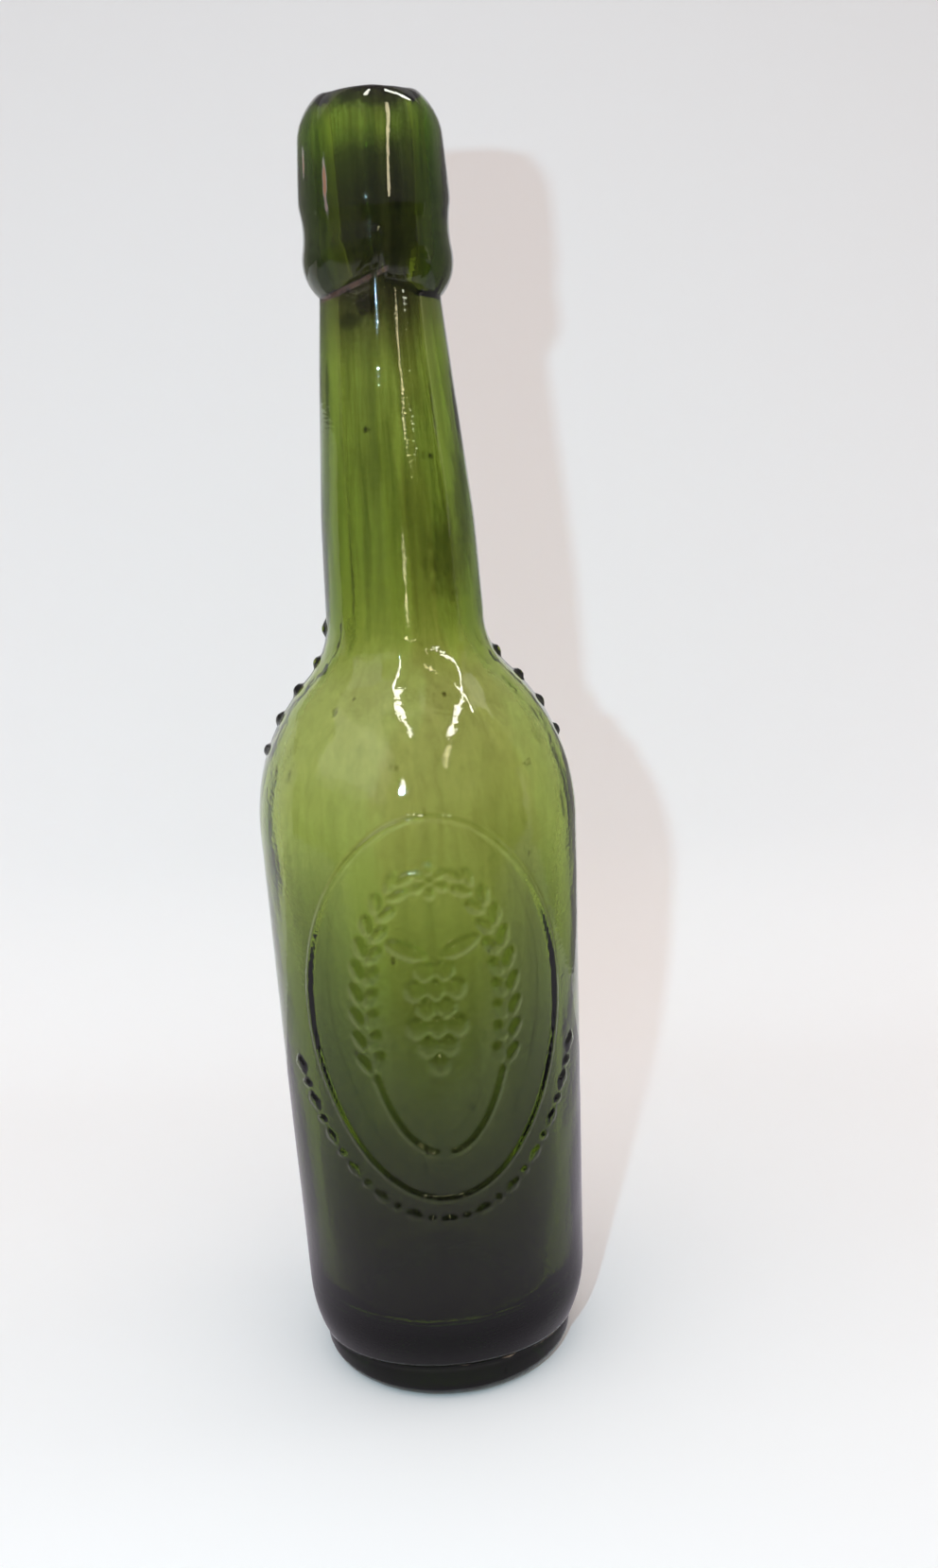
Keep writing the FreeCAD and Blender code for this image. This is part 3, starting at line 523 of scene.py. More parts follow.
# ---------------------------------------------------------------- mesh
BASE_STEP, CARVED_STEP, BODY_STEP = 2.0, 0.52, 1.3      # up the section, in millimetres
NECK_STEP, LIP_FINE_STEP, HOLLOW_STEP = 1.4, 0.8, 2.4


def column_angles(spans):
    """Directions round the bottle, 0 at the front: from, to and how many in each span."""
    angles = []
    for first, last, count in spans:
        angles.extend(np.linspace(first, last, count, endpoint=False))
    return np.radians(np.array(angles))


BODY_COLUMNS = column_angles(((-72, 72, 160), (72, 86, 6), (86, 104, 18), (104, 256, 32),
                              (256, 274, 18), (274, 288, 6)))
NECK_COLUMNS = BODY_COLUMNS[::2]


def normals_of(points):
    """Unit normals of a section, to the right of its way up."""
    ways = np.gradient(points, axis=0)
    ways /= np.linalg.norm(ways, axis=1)[:, None]
    return np.stack([ways[:, 1], -ways[:, 0]], axis=1)


class Glass:
    """Vertices and faces of the closed mesh, added ring by ring."""

    def __init__(self, height):
        self.vertices, self.faces, self.ring = [(0.0, 0.0, height)], [], [0]

    def add_ring(self, x, y, z):
        """Join one more ring to the last: an even one, one of half as many, or one of twice."""
        first = len(self.vertices)
        self.vertices.extend(zip(x, y, z))
        new = list(range(first, first + len(x)))
        old = self.ring
        count, before = len(new), len(old)
        for index in range(count):
            after = (index + 1) % count
            if before == 1:
                self.faces.append((old[0], new[after], new[index]))
            elif before == count:
                self.faces.append((old[index], old[after], new[after], new[index]))
            elif before == 2 * count:
                a, b, c = old[2 * index], old[2 * index + 1], old[(2 * index + 2) % before]
                self.faces += [(a, b, new[index]), (b, c, new[after]), (b, new[after], new[index])]
            elif index % 2 == 0:
                a, b = old[index // 2], old[(index // 2 + 1) % before]
                middle, end = new[index + 1], new[(index + 2) % count]
                self.faces += [(a, middle, new[index]), (b, end, middle), (a, b, middle)]
        self.ring = new

    def spin(self, points, columns, bumps=None, warp=None):
        """Spin a section, moved along its normals by bumps. Its first ring is there already."""
        normals = normals_of(points)
        angle = np.broadcast_to(columns, (len(points), len(columns)))
        moved = bumps(angle, points) if bumps else np.zeros(angle.shape)
        radius = points[:, :1] + normals[:, :1] * moved
        z = points[:, 1:] + normals[:, 1:] * moved
        if warp:
            z = warp(angle, z)
        for row in range(1, len(points)):
            across = radius[row] * np.sin(angle[row]) + drift(z[row])
            self.add_ring(across * MM, -radius[row] * np.cos(angle[row]) * MM, z[row] * MM)

    def close(self, height):
        self.vertices.append((0.0, 0.0, height))
        tip, count = len(self.vertices) - 1, len(self.ring)
        for index in range(count):
            self.faces.append((self.ring[index], self.ring[(index + 1) % count], tip))


def add_object(name, data):
    thing = bpy.data.objects.new(name, data)
    bpy.context.scene.collection.objects.link(thing)
    return thing


def add_mesh(name, vertices, faces, material):
    mesh = bpy.data.meshes.new(name)
    mesh.from_pydata(vertices, [], faces)
    mesh.materials.append(material)
    return add_object(name, mesh)


def build_bottle():
    base = outside_base(BASE_STEP).array()
    hollow = inside(HOLLOW_STEP).array()
    glass = Glass(base[0][1] * MM)
    glass.spin(base, NECK_COLUMNS)
    glass.spin(outside_body(CARVED_STEP, BODY_STEP).array(), BODY_COLUMNS, body_bumps, uneven_heel)
    glass.spin(outside_neck(NECK_STEP, LIP_FINE_STEP).array(), NECK_COLUMNS, neck_bumps, uneven_lip)
    glass.spin(hollow[:-1], NECK_COLUMNS, hollow_bumps, uneven_lip)
    glass.close(hollow[-1][1] * MM)
    made = add_mesh("BottleGlass", glass.vertices, glass.faces, glass_material())
    made.data.validate()
    made.data.shade_smooth()
    return made


# ---------------------------------------------------------------- materials
class Nodes:
    """A material's tree, emptied, with short ways to add the nodes that repeat."""

    def __init__(self, name):
        self.material = bpy.data.materials.new(name)
        self.material.use_nodes = True
        self.tree = self.material.node_tree
        self.tree.nodes.clear()
        self.output = self.add("OutputMaterial")

    def add(self, kind, **values):
        node = self.tree.nodes.new("ShaderNode" + kind)
        for name, value in values.items():
            setattr(node, name, value)
        return node

    def put(self, value, socket):
        """Link a node's output to a socket, or write a plain number or colour on it."""
        if isinstance(value, bpy.types.NodeSocket):
            self.tree.links.new(value, socket)
        else:
            socket.default_value = (*value, 1) if socket.type == "RGBA" else value

    def find_place(self):
        """The place on the object: the whole of it, and x, y and z."""
        self.place = self.add("TexCoord").outputs["Object"]
        parts = self.add("SeparateXYZ")
        self.put(self.place, parts.inputs[0])
        self.x, self.y, self.z = parts.outputs

    def length(self, vector):
        node = self.add("VectorMath", operation="LENGTH")
        self.put(vector, node.inputs[0])
        return node.outputs["Value"]

    def mapped(self, scale, location=(0, 0, 0), kind="POINT"):
        node = self.add("Mapping", vector_type=kind)
        self.put(self.place, node.inputs["Vector"])
        self.put(location, node.inputs["Location"])
        self.put(scale, node.inputs["Scale"])
        return node.outputs[0]

    def noise(self, across, up, detail, roughness=0.5):
        """Noise with so many cells in a metre, across and up."""
        node = self.add("TexNoise")
        self.put(self.mapped((across, across, up)), node.inputs["Vector"])
        for name, value in (("Scale", 1.0), ("Detail", detail), ("Roughness", roughness)):
            self.put(value, node.inputs[name])
        return node.outputs["Fac"]

    def spread(self, value, low, high, to_low=0.0, to_high=1.0, kind="SMOOTHSTEP"):
        node = self.add("MapRange", interpolation_type=kind)
        for name, number in (("Value", value), ("From Min", low), ("From Max", high),
                             ("To Min", to_low), ("To Max", to_high)):
            self.put(number, node.inputs[name])
        return node.outputs["Result"]

    def mixed(self, factor, first, second, blend="MIX"):
        node = self.add("Mix", data_type="RGBA", blend_type=blend)
        for place, value in (("Factor", factor), (6, first), (7, second)):
            self.put(value, node.inputs[place])
        return node.outputs[2]

    def maths(self, operation, *values, clamp=False):
        node = self.add("Math", operation=operation, use_clamp=clamp)
        for socket, value in zip(node.inputs, values):
            self.put(value, socket)
        return node.outputs[0]

    def times(self, first, second):
        return self.maths("MULTIPLY", first, second)

    def ramp(self, value, stops):
        """Colours between stops of (position, colour)."""
        node = self.add("ValToRGB")
        elements = node.color_ramp.elements
        while len(elements) < len(stops):
            elements.new(0.5)
        for element, (position, colour) in zip(elements, stops):
            element.position, element.color = position, (*colour, 1)
        self.put(value, node.inputs["Fac"])
        return node.outputs["Color"]

    def glow(self, colour, strength):
        node = self.add("Emission")
        self.put(colour, node.inputs["Color"])
        self.put(strength, node.inputs["Strength"])
        self.put(node.outputs[0], self.output.inputs["Surface"])


# Height in metres and tint of the glass, mostly painted light and shade: darker low on the body and
# darkest at the heel, darker in the neck and at the lip, a light band just under the rim's top and a
# dark violet band on its crown; the brown just above the foot ring is the groove's deposit.
TINT_LIGHT_AND_SHADE_STOPS = (
    (0.000, (0.42, 0.50, 0.26)), (0.006, (0.34, 0.38, 0.20)), (0.0085, (0.38, 0.30, 0.22)),
    (0.012, (0.075, 0.066, 0.076)), (0.022, (0.15, 0.14, 0.14)), (0.036, (0.25, 0.25, 0.225)),
    (0.052, (0.36, 0.37, 0.31)), (0.064, (0.43, 0.445, 0.37)), (0.090, (0.62, 0.65, 0.52)),
    (0.118, (0.92, 0.93, 0.82)), (0.145, (1.00, 0.97, 0.96)), (0.168, (1.00, 0.96, 0.92)),
    (0.192, (0.79, 0.80, 0.68)), (0.232, (0.82, 0.83, 0.69)), (0.240, (0.46, 0.43, 0.40)),
    (0.248, (0.30, 0.27, 0.33)), (0.266, (0.34, 0.32, 0.38)), (0.273, (0.46, 0.46, 0.48)),
    (0.2785, (0.95, 1.00, 0.95)), (0.2828, (0.16, 0.13, 0.22)))
TINT_WAVE = 0.024            # noise moves these heights by up to half of this either way
CORD_TINT, SIDE_SHADE_TINT = (0.20, 0.22, 0.13), (0.50, 0.52, 0.42)
CLOUD_TINT, SPECK_TINT = (0.55, 0.52, 0.30), (0.16, 0.14, 0.08)

# Dark marks and brown ones darken the tint under them, the lighter patch takes its place, and rust and
# mud also lie on the glass and hide it. The thin dark marks at azimuths 62 to 80 either way are painted
# shade along the edges of neck and shoulder, and the lighter patch on the rim is painted light.
DARK_SPOT_AND_SHADE, BROWN, PAINTED_LIGHT = (0.02, 0.02, 0.014), (0.22, 0.17, 0.09), (1.0, 1.0, 0.90)
RUST, MUD = (0.22, 0.085, 0.03), (0.20, 0.15, 0.10)

# Azimuth in degrees; height, distance from the axis and half-size across and up in
# millimetres; colour and strength.
MARKS = (
    (-40, 266, 15.0, 0.55, 5.0, RUST, 0.9), (-66, 271, 15.0, 0.7, 3.2, RUST, 0.8),
    (-14, 243.5, 12.8, 3.4, 2.4, DARK_SPOT_AND_SHADE, 0.9), (-32, 240.5, 13.0, 2.6, 1.8, DARK_SPOT_AND_SHADE, 0.8),
    (36, 192, 16.6, 5.5, 12.0, BROWN, 0.85), (58, 204, 16.0, 3.0, 16.0, BROWN, 0.8),
    (-21, 219, 14.3, 0.9, 0.8, DARK_SPOT_AND_SHADE, 1.0), (29, 213, 14.8, 1.0, 0.8, DARK_SPOT_AND_SHADE, 1.0),
    # The thin dark marks at azimuths 62 to 80 either way are painted shade along the edges of neck and
    # shoulder.
    (-62, 226, 14.2, 0.9, 15.0, DARK_SPOT_AND_SHADE, 0.8), (70, 222, 14.4, 1.0, 18.0, DARK_SPOT_AND_SHADE, 0.9),
    (-72, 190, 16.8, 1.0, 16.0, DARK_SPOT_AND_SHADE, 0.8), (80, 160, 29.0, 1.6, 7.0, DARK_SPOT_AND_SHADE, 1.0),
    (66, 150, 33.5, 1.8, 4.0, DARK_SPOT_AND_SHADE, 0.9), (72, 136, 35.4, 1.2, 5.0, DARK_SPOT_AND_SHADE, 0.9),
    (-42, 164, 25.0, 1.0, 3.2, DARK_SPOT_AND_SHADE, 0.8), (-58, 151, 33.0, 1.5, 4.0, DARK_SPOT_AND_SHADE, 0.7),
    # The first mark on this line is painted light: a lighter patch on the rim.
    (-16, 278.6, 13.6, 5.2, 2.4, PAINTED_LIGHT, 1.0), (4, 9.5, 29.4, 1.4, 0.7, MUD, 0.7),
    (24, 9.1, 29.4, 2.0, 0.9, MUD, 0.9), (48, 8.3, 29.4, 5.0, 0.9, MUD, 0.9))
JOINT_HEIGHT, JOINT_SLANT = LIP_BASE + 5.2, -0.43     # the rusty joint, at the front


def tint_light_and_shade(nodes):
    # Painted light and shade: the ramp lightens and darkens the glass by height.
    waved = nodes.maths("MULTIPLY_ADD", nodes.noise(38, 22, 3), TINT_WAVE, nodes.z)
    share = nodes.spread(waved, TINT_WAVE / 2, RIM * MM + TINT_WAVE / 2, kind="LINEAR")
    return nodes.ramp(share, [(height / (RIM * MM), colour) for height, colour in TINT_LIGHT_AND_SHADE_STOPS])


def add_streaks(nodes, tint):
    """Drawn-out cords, strongest in neck and lip, painted shade on the sides low down, and clouds."""
    cords = nodes.spread(nodes.noise(420, 14, 3), 0.42, 0.66)
    upper = nodes.maths("ADD", nodes.spread(nodes.z, 0.165, 0.2, 0.12, 0.50),
                        nodes.spread(nodes.z, 0.240, 0.250, 0.0, 0.10))
    tint = nodes.mixed(nodes.times(cords, upper), tint, CORD_TINT, "MULTIPLY")
    # Painted shade: the body's sides low down are darker.
    sides = nodes.times(nodes.spread(nodes.maths("ABSOLUTE", nodes.x), 0.012, 0.027),
                        nodes.spread(nodes.z, 0.135, 0.110))
    tint = nodes.mixed(nodes.times(sides, 0.55), tint, SIDE_SHADE_TINT, "MULTIPLY")
    clouds = nodes.spread(nodes.noise(60, 32, 4, 0.6), 0.45, 0.72)
    return nodes.mixed(nodes.times(clouds, 0.22), tint, CLOUD_TINT, "MULTIPLY")


def add_marks(nodes, tint):
    """The marks, and how far they cover the glass."""
    cover, rough_edge = 0.0, nodes.noise(700, 260, 3, 0.65)
    for azimuth, height, radius, across, up, colour, strength in MARKS:
        turn = math.radians(azimuth)
        middle = ((radius * math.sin(turn) + drift(height)) * MM, -radius * math.cos(turn) * MM,
                  height * MM)
        reach = nodes.length(nodes.mapped((across * MM, across * MM, up * MM), middle, "TEXTURE"))
        ragged = nodes.maths("MULTIPLY_ADD", rough_edge, 1.6, reach)
        mask = nodes.spread(ragged, 1.2, 2.1, strength, 0.0)
        tint = nodes.mixed(mask, tint, colour, "MULTIPLY" if colour in (DARK_SPOT_AND_SHADE, BROWN) else "MIX")
        if colour in (RUST, MUD):
            cover = nodes.maths("ADD", cover, mask, clamp=True)
    return tint, cover


def add_joint_rust(nodes, tint, cover):
    """Rust that follows the left half of the joint under the lip."""
    slant = nodes.maths("MULTIPLY_ADD", nodes.x, JOINT_SLANT, nodes.z)
    off = nodes.maths("ABSOLUTE", nodes.maths("SUBTRACT", slant, JOINT_HEIGHT * MM))
    line = nodes.times(nodes.spread(off, 0.0003, 0.0009, 1.0, 0.0),
                       nodes.spread(nodes.x, 0.0, 0.0012, 1.0, 0.0))
    line = nodes.times(line, nodes.spread(nodes.y, -0.001, 0.001, 1.0, 0.0))
    line = nodes.times(line, nodes.spread(nodes.noise(260, 120, 3, 0.6), 0.38, 0.55, 0.35, 1.0))
    tint = nodes.mixed(nodes.times(line, 0.7), tint, RUST)
    return tint, nodes.maths("ADD", cover, nodes.times(line, 0.35), clamp=True)


def add_specks(nodes, tint):
    """Specks of ash and soot."""
    specks = nodes.add("TexVoronoi", feature="F1")
    nodes.put(150.0, specks.inputs["Scale"])
    nodes.put(nodes.mapped((1, 1, 0.6)), specks.inputs["Vector"])
    dots = nodes.spread(specks.outputs["Distance"], 0.05, 0.11, 1.0, 0.0)
    chosen = nodes.spread(nodes.noise(90, 60, 2), 0.56, 0.62)
    return nodes.mixed(nodes.times(dots, chosen), tint, SPECK_TINT, "MULTIPLY")


def glass_material():
    nodes = Nodes("GreenGlass")
    nodes.find_place()
    tint, cover = add_marks(nodes, add_streaks(nodes, tint_light_and_shade(nodes)))
    tint, cover = add_joint_rust(nodes, tint, cover)

    ripple = nodes.add("Bump")
    nodes.put(1.0, ripple.inputs["Strength"])
    nodes.put(0.00006, ripple.inputs["Distance"])
    nodes.put(nodes.maths("MULTIPLY_ADD", nodes.noise(480, 1250, 2), 0.5, nodes.noise(230, 110, 3)),
              ripple.inputs["Height"])

    shader = nodes.add("BsdfPrincipled")
    for name, value in (("Base Color", add_specks(nodes, tint)), ("Roughness", 0.02), ("IOR", 1.5),
                        ("Specular IOR Level", 0.37), ("Normal", ripple.outputs[0]),
                        ("Transmission Weight", nodes.spread(cover, 0.0, 1.0, 1.0, 0.0))):
        nodes.put(value, shader.inputs[name])
    nodes.put(shader.outputs[0], nodes.output.inputs["Surface"])

    volume = nodes.add("VolumeAbsorption")
    nodes.put((0.62, 0.72, 0.10), volume.inputs["Color"])
    nodes.put(270.0, volume.inputs["Density"])
    nodes.put(volume.outputs[0], nodes.output.inputs["Volume"])
    return nodes.material


def paper_material(name, one_sided):
    """Plain paper with painted shade, paler low down than high up; from behind, a one-sided sheet is
    clear.
    """
    nodes = Nodes(name)
    nodes.find_place()
    share = nodes.spread(nodes.z, 0.0, PAPER_TOP, kind="LINEAR")
    paper = nodes.add("BsdfDiffuse")
    nodes.put(nodes.ramp(share, ((0.0, PAPER_LOW), (1.0, SHADED_PAPER_HIGH))), paper.inputs["Color"])
    surface = paper.outputs[0]
    if one_sided:
        mix = nodes.add("MixShader")
        nodes.put(nodes.add("NewGeometry").outputs["Backfacing"], mix.inputs["Fac"])
        nodes.put(surface, mix.inputs[1])
        nodes.put(nodes.add("BsdfTransparent").outputs[0], mix.inputs[2])
        surface = mix.outputs[0]
    nodes.put(surface, nodes.output.inputs["Surface"])
    return nodes.material


def glow_material(name, colour, strength):
    nodes = Nodes(name)
    nodes.glow(colour, strength)
    return nodes.material


# ---------------------------------------------------------------- stage and light
PAPER_TOP = 0.4                      # metres up to where the paper's colour changes
# Painted shade: the paper is darker high up, for the light's falloff up the backdrop.
PAPER_LOW, SHADED_PAPER_HIGH = (0.94, 0.94, 0.945), (0.66, 0.66, 0.668)
FLOOR_HALF = 3.0
BACKDROP_FAR, BACKDROP_BEND, BACKDROP_TOP, BACKDROP_HALF = 0.195, 0.06, 0.75, 0.75
BEND_STEPS = 12
OFF_FLOOR = 0.0002                   # the backdrop lies this far above the floor
PHOTO_TURN = math.radians(-2.1)      # the photo's view of the panel is turned by this much
CAMERA_PLACE = (0, -0.3741, 0.2514)  # this and the next two lines were worked out from the photo
CAMERA_YAW, CAMERA_PITCH, CAMERA_ROLL = math.radians(1.81), math.radians(16.75), math.radians(-3.22)
FOCAL_PIXELS, LONG_SIDE_PIXELS = 1850, 1659
SHOULDER_MIDDLE, LIP_MIDDLE = (0, 0, 0.17), (0, 0, 0.262)

# How far away the sheets are that the glass mirrors, and how high the level ones lie.
ROOM, LEFT_ROOM, HOOD, SLIT, LIP_SLIT = 0.75, 0.74, 0.045, 0.6, 0.0445
CARD_LEVEL, RING_LEVEL, TABLE_LEVEL = 0.185, 0.0012, 0.001
WARM_DARK, DARK = (1.0, 0.97, 0.95), 0.10
CREAM, WHITE = (1.0, 0.86, 0.58), (1.0, 0.98, 0.90)

# Dark cards beside the shoulder keep a slit's second image away: corners in millimetres.
CARDS = (
    ("CardLeft", ((-17, -100), (-7.8, -100), (-7.8, -33), (-17, -33))),
    ("CardMiddle", ((-4.1, -35), (6, -35), (6, -26), (-4.7, -26), (-4.7, -30), (-4.1, -31.5))),
    ("CardRight", ((8, -33), (22.3, -33), (22.3, -21), (8, -21))),
    ("CardFar", ((37.6, -20), (37.6, -27), (42.5, -32.5), (46, -45), (60, -75), (90, -120),
                 (160, -120), (160, -20))),
    ("CardSmall", ((27, -20.9), (30, -22.2), (33.5, -23.6), (34.9, -26.5), (34.9, -32), (27, -32))))

# Dark strips round the glass do the same: azimuths, heights and radius.
CURTAINS = (
    ("CurtainHigh", 11, 62, 0.166, 0.211, 0.2), ("CurtainLow", -2, 10, 0.105, 0.150, 0.2),
    ("LipCollar", -9, 42, 0.2505, 0.2612, 0.022), ("FlashShade", -15, 0, 0.234, 0.2492, 0.022),
    ("CurtainNeck", 31, 43, 0.245, 0.300, 0.2))

# Thin bright slits: width, colour, strength, and azimuths and elevations along them, seen from
# the shoulder's middle or the lip's.
SLITS = (
    ("SlitLow", 0.013, CREAM, 18, ((6, -11.5), (3.3, -6.5), (1.2, -4.5), (3.6, -2.8), (6, -1))),
    ("SlitNeck", 0.012, CREAM, 20, ((27.1, 9.6), (25.8, 10.5), (29.4, 11.6), (28.9, 14.8))),
    ("SlitShoulder", 0.016, CREAM, 14, ((35.2, 39.1), (30.3, 34.8), (24.6, 28.7))),
    ("SlitLeft", 0.024, WHITE, 26, ((-7, 21), (-8.5, 23), (-17.7, 46.2), (-26.2, 69.2),
                                    (-14, 58.8), (-2.6, 52.6), (2.1, 47.9))),
    ("SlitRight", 0.024, WHITE, 26, ((34.7, 11.9), (54, 17.4), (71.7, 31), (79, 42.3),
                                     (85.6, 53.7), (61.6, 53.7), (46.1, 48.4), (36.9, 43.3))))
LIP_SLITS = (
    ("SlitLip", 0.0026, CREAM, 13, ((32.4, 59.2), (26.8, 51.6), (23.5, 43.9), (21, 31.3),
                                    (19.2, 22.9), (18, 18.8), (17, 14.7), (17, 10.8), (17, 4.5))),
    ("DashLeft", 0.0022, WHITE, 20, ((-9.3, 68.6), (-2, 73), (4.3, 76.7))),
    ("DashRight", 0.0022, WHITE, 20, ((58.4, 73.5), (78.6, 65.5), (90.6, 57.5))))
SLIT_STEPS = 8                       # between two points of a slit's path


def from_camera(x, y, z):
    """A place given as if the camera looked along Y, turned to suit the bottle's front."""
    return Matrix.Rotation(PHOTO_TURN, 3, "Z") @ Vector((x, y, z))


def round_axis(radius, azimuth, height):
    turn = math.radians(azimuth)
    return from_camera(radius * math.sin(turn), -radius * math.cos(turn), height)


def toward(azimuth, elevation, distance, centre=SHOULDER_MIDDLE):
    """A place seen from a centre in a direction: azimuth 0 is the camera's, growing to the right."""
    turn, lift = math.radians(azimuth), math.radians(elevation)
    way = (math.sin(turn) * math.cos(lift), -math.cos(turn) * math.cos(lift), math.sin(lift))
    return from_camera(*(centre[axis] + distance * way[axis] for axis in range(3)))


def add_sheet(name, rows, material):
    """A sheet through rows of points."""
    width = len(rows[0])
    vertices = [tuple(point) for row in rows for point in row]
    faces = [(low, low + 1, low + width + 1, low + width) for row in range(len(rows) - 1)
             for low in range(row * width, row * width + width - 1)]
    return add_mesh(name, vertices, faces, material)


def only_reflected(thing):
    """Seen in the glass's shine alone: the camera, the floor and the light through it pass."""
    thing.visible_camera = thing.visible_diffuse = thing.visible_transmission = False
    thing.visible_shadow = thing.visible_volume_scatter = False
    return thing


def add_glow(name, rows, colour, strength):
    """A sheet of even light that only the glass's shine shows."""
    return only_reflected(add_sheet(name, rows, glow_material(name, colour, strength)))


def build_floor():
    rows = [[(-FLOOR_HALF, y, 0), (FLOOR_HALF, y, 0)] for y in (-FLOOR_HALF, FLOOR_HALF)]
    return add_sheet("Floor", rows, paper_material("FloorPaper", False))


def build_backdrop():
    """A sheet behind the bottle that curves up out of the floor; seen from behind it is clear."""
    start = BACKDROP_FAR - BACKDROP_BEND
    profile = [(start - 0.02, OFF_FLOOR)]
    for index in range(BEND_STEPS + 1):
        angle = math.radians(90 * index / BEND_STEPS)
        profile.append((start + BACKDROP_BEND * math.sin(angle),
                        OFF_FLOOR + BACKDROP_BEND - BACKDROP_BEND * math.cos(angle)))
    profile.append((BACKDROP_FAR, BACKDROP_TOP))
    rows = [[from_camera(-BACKDROP_HALF, y, z), from_camera(BACKDROP_HALF, y, z)] for y, z in profile]
    backdrop = add_sheet("Backdrop", rows, paper_material("BackdropPaper", True))
    backdrop.data.shade_smooth()
    return backdrop


def build_dim_room():
    """The dim room behind the camera."""
    rows = [[toward(azimuth, elevation, ROOM) for azimuth in range(-20, 85, 5)]
            for elevation in range(-12, 66, 6)]
    return add_glow("DimRoom", rows, WARM_DARK, DARK)


def build_dim_table():
    """Past the paper's front edge."""
    rows = [[from_camera(x, y, TABLE_LEVEL) for x in (-2.5, 2.5)] for y in (-0.17, -2.5)]
    return add_glow("DimTable", rows, (1.0, 0.95, 1.0), 0.15)


def build_lip_shade():
    """A dark hood close round the lip: keeps the slits' and the room's shine out of it."""
    rows = [[toward(azimuth, elevation, HOOD, LIP_MIDDLE) for azimuth in range(-80, 105, 5)]
            for elevation in range(-6, 85, 6)]
    return add_glow("LipShade", rows, (1.0, 0.86, 1.12), 0.24)


def build_card(name, corners):
    corners = [tuple(from_camera(x * MM, y * MM, CARD_LEVEL)) for x, y in corners]
    material = glow_material(name, WARM_DARK, DARK)
    return only_reflected(add_mesh(name, corners, [tuple(range(len(corners)))], material))


def build_curtain(name, first, last, low, high, radius):
    rows = [[round_axis(radius, azimuth, height) for azimuth in range(first, last + 1, 3)]
            for height in (low, high)]
    return add_glow(name, rows, WARM_DARK, DARK)


def build_dim_left():
    """The dim room to the left, under the soft light."""
    rows = [[toward(azimuth, elevation, LEFT_ROOM) for azimuth in range(-100, -19, 5)]
            for elevation in (-14, 0, 13)]
    return add_glow("DimLeft", rows, (1.0, 0.95, 0.91), 0.22)


def build_dim_ring():
    """The paper round the foot, as its dull shine shows it: dim close by and past its front edge."""
    rows = [[round_axis(radius, azimuth, RING_LEVEL) for azimuth in range(0, 361, 10)]
            for radius in (0.030, 0.8)]
    nodes = Nodes("DimRing")
    nodes.find_place()
    nodes.glow((0.98, 0.91, 1.02),
               nodes.times(nodes.spread(nodes.length(nodes.place), 0.040, 0.080, 0.33, 0.58),
                           nodes.spread(nodes.y, -0.24, -0.15, 0.22, 1.0)))
    return only_reflected(add_sheet("DimRing", rows, nodes.material))


def build_dim_side(name, hand, low, high):
    """The dim room past the paper's edge, beside the backdrop."""
    edge = ((0.10, 0.188), (0.22, 0.12), (0.45, -0.05))
    rows = [[from_camera(hand * x, y, height) for x, y in edge] for height in (low, high)]
    return add_glow(name, rows, (1.0, 0.95, 0.92), 0.33)


def build_slit(name, width, colour, strength, path, distance, centre):
    points = []
    for first, second in zip(path, path[1:]):
        for index in range(SLIT_STEPS):
            share = index / SLIT_STEPS
            points.append(tuple(a + (b - a) * share for a, b in zip(first, second)))
    points.append(path[-1])
    rows = []
    for index, here in enumerate(points):
        before, after = points[max(index - 1, 0)], points[min(index + 1, len(points) - 1)]
        place, ahead, behind = (toward(*point, distance, centre) for point in (here, after, before))
        along = (ahead - behind).normalized()
        across = along.cross(place - Vector(centre)).normalized() * width / 2
        rows.append([place - across, place + across])
    return add_glow(name, rows, colour, strength)


def add_lamp(name, place, target, size, power, colour):
    light = bpy.data.lights.new(name, "AREA")
    light.shape = "RECTANGLE"
    light.size, light.size_y = size
    light.energy = power
    light.color = colour
    lamp = add_object(name, light)
    lamp.location = place
    lamp.rotation_euler = (Vector(target) - Vector(place)).to_track_quat("-Z", "Y").to_euler()
    return lamp


def build_world(strength, colour):
    world = bpy.data.worlds.new("Studio")
    world.use_nodes = True
    background = world.node_tree.nodes["Background"]
    background.inputs["Color"].default_value = (*colour, 1)
    background.inputs["Strength"].default_value = strength
    bpy.context.scene.world = world


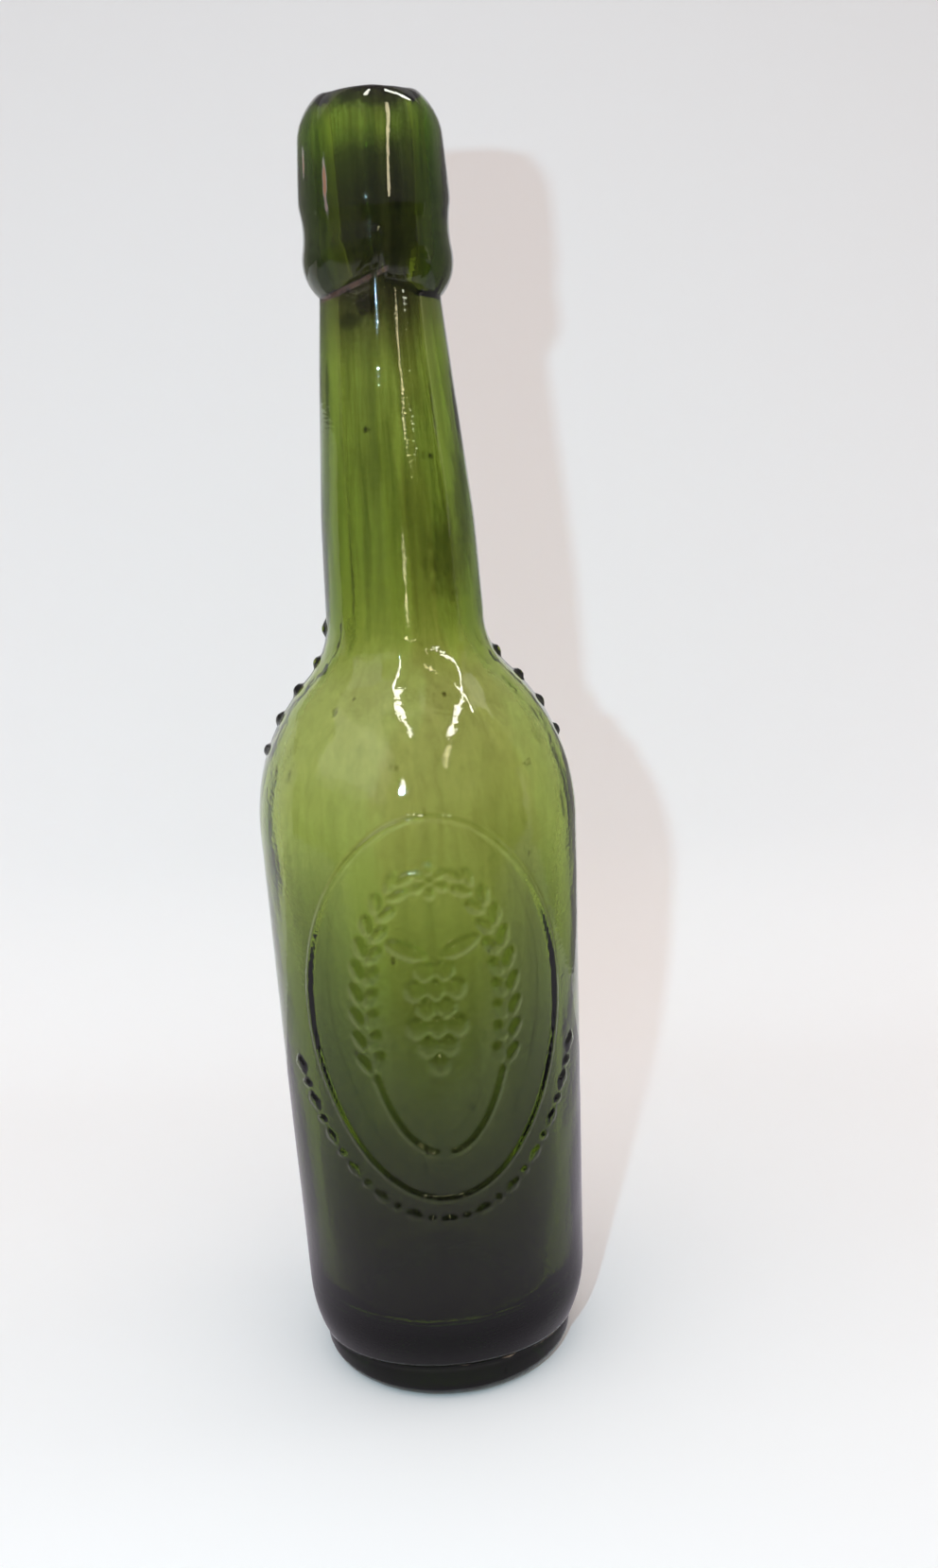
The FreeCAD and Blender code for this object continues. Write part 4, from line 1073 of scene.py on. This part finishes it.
def build_camera():
    """The photograph's view: from a little above the rim, close, and rolled slightly."""
    forward = Vector((math.sin(CAMERA_YAW) * math.cos(CAMERA_PITCH),
                      math.cos(CAMERA_YAW) * math.cos(CAMERA_PITCH), -math.sin(CAMERA_PITCH)))
    level = Vector((math.cos(CAMERA_YAW), -math.sin(CAMERA_YAW), 0))
    above = level.cross(forward)
    right = level * math.cos(CAMERA_ROLL) + above * math.sin(CAMERA_ROLL)
    up = above * math.cos(CAMERA_ROLL) - level * math.sin(CAMERA_ROLL)
    turn = Matrix.Rotation(PHOTO_TURN, 3, "Z")
    data = bpy.data.cameras.new("Camera")
    data.lens = data.sensor_width * FOCAL_PIXELS / LONG_SIDE_PIXELS
    camera = add_object("Camera", data)
    axes = Matrix((turn @ right, turn @ up, turn @ -forward)).transposed()
    camera.matrix_world = Matrix.Translation(from_camera(*CAMERA_PLACE)) @ axes.to_4x4()
    bpy.context.scene.camera = camera


build_camera()
bottle = build_bottle()
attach(bottle, "root")
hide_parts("bottle")

build_floor()
build_backdrop()
build_dim_room()
build_dim_table()
build_lip_shade()
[build_card(*card) for card in CARDS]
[build_curtain(*curtain) for curtain in CURTAINS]
build_dim_left()
build_dim_ring()
build_dim_side("DimSideRight", 1, 0.0, 0.45)
build_dim_side("DimSideLeft", -1, 0.215, 0.45)
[build_slit(*slit, SLIT, SHOULDER_MIDDLE) for slit in SLITS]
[build_slit(*slit, LIP_SLIT, LIP_MIDDLE) for slit in LIP_SLITS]

build_world(0.785, (1.0, 0.89, 0.85))
add_lamp("Flash", from_camera(-0.062, -0.376, 0.289), (0, 0, 0.14), (0.010, 0.006), 0.76,
         (0.48, 0.83, 1.0))
fill = add_lamp("FloorFill", from_camera(0.03, -0.14, 0.50), (0.02, -0.13, 0), (0.25, 0.25), 0.30,
                (1.0, 0.90, 0.83))
fill.visible_glossy = fill.visible_transmission = False
add_lamp("SoftLeft", toward(-62, 33, 0.7), (0, 0, 0.16), (0.75, 0.36), 0.162 * math.pi, WARM_DARK)
add_lamp("SoftRight", toward(95, 32, 0.7), (0, 0, 0.16), (0.22, 0.36), 0.077 * math.pi, WARM_DARK)

scene = bpy.context.scene
scene.view_settings.view_transform = "Standard"
scene.cycles.max_bounces = 12
scene.cycles.transmission_bounces = 10
scene.cycles.glossy_bounces = 4

print("triangles", sum(len(face.vertices) - 2 for face in bottle.data.polygons))
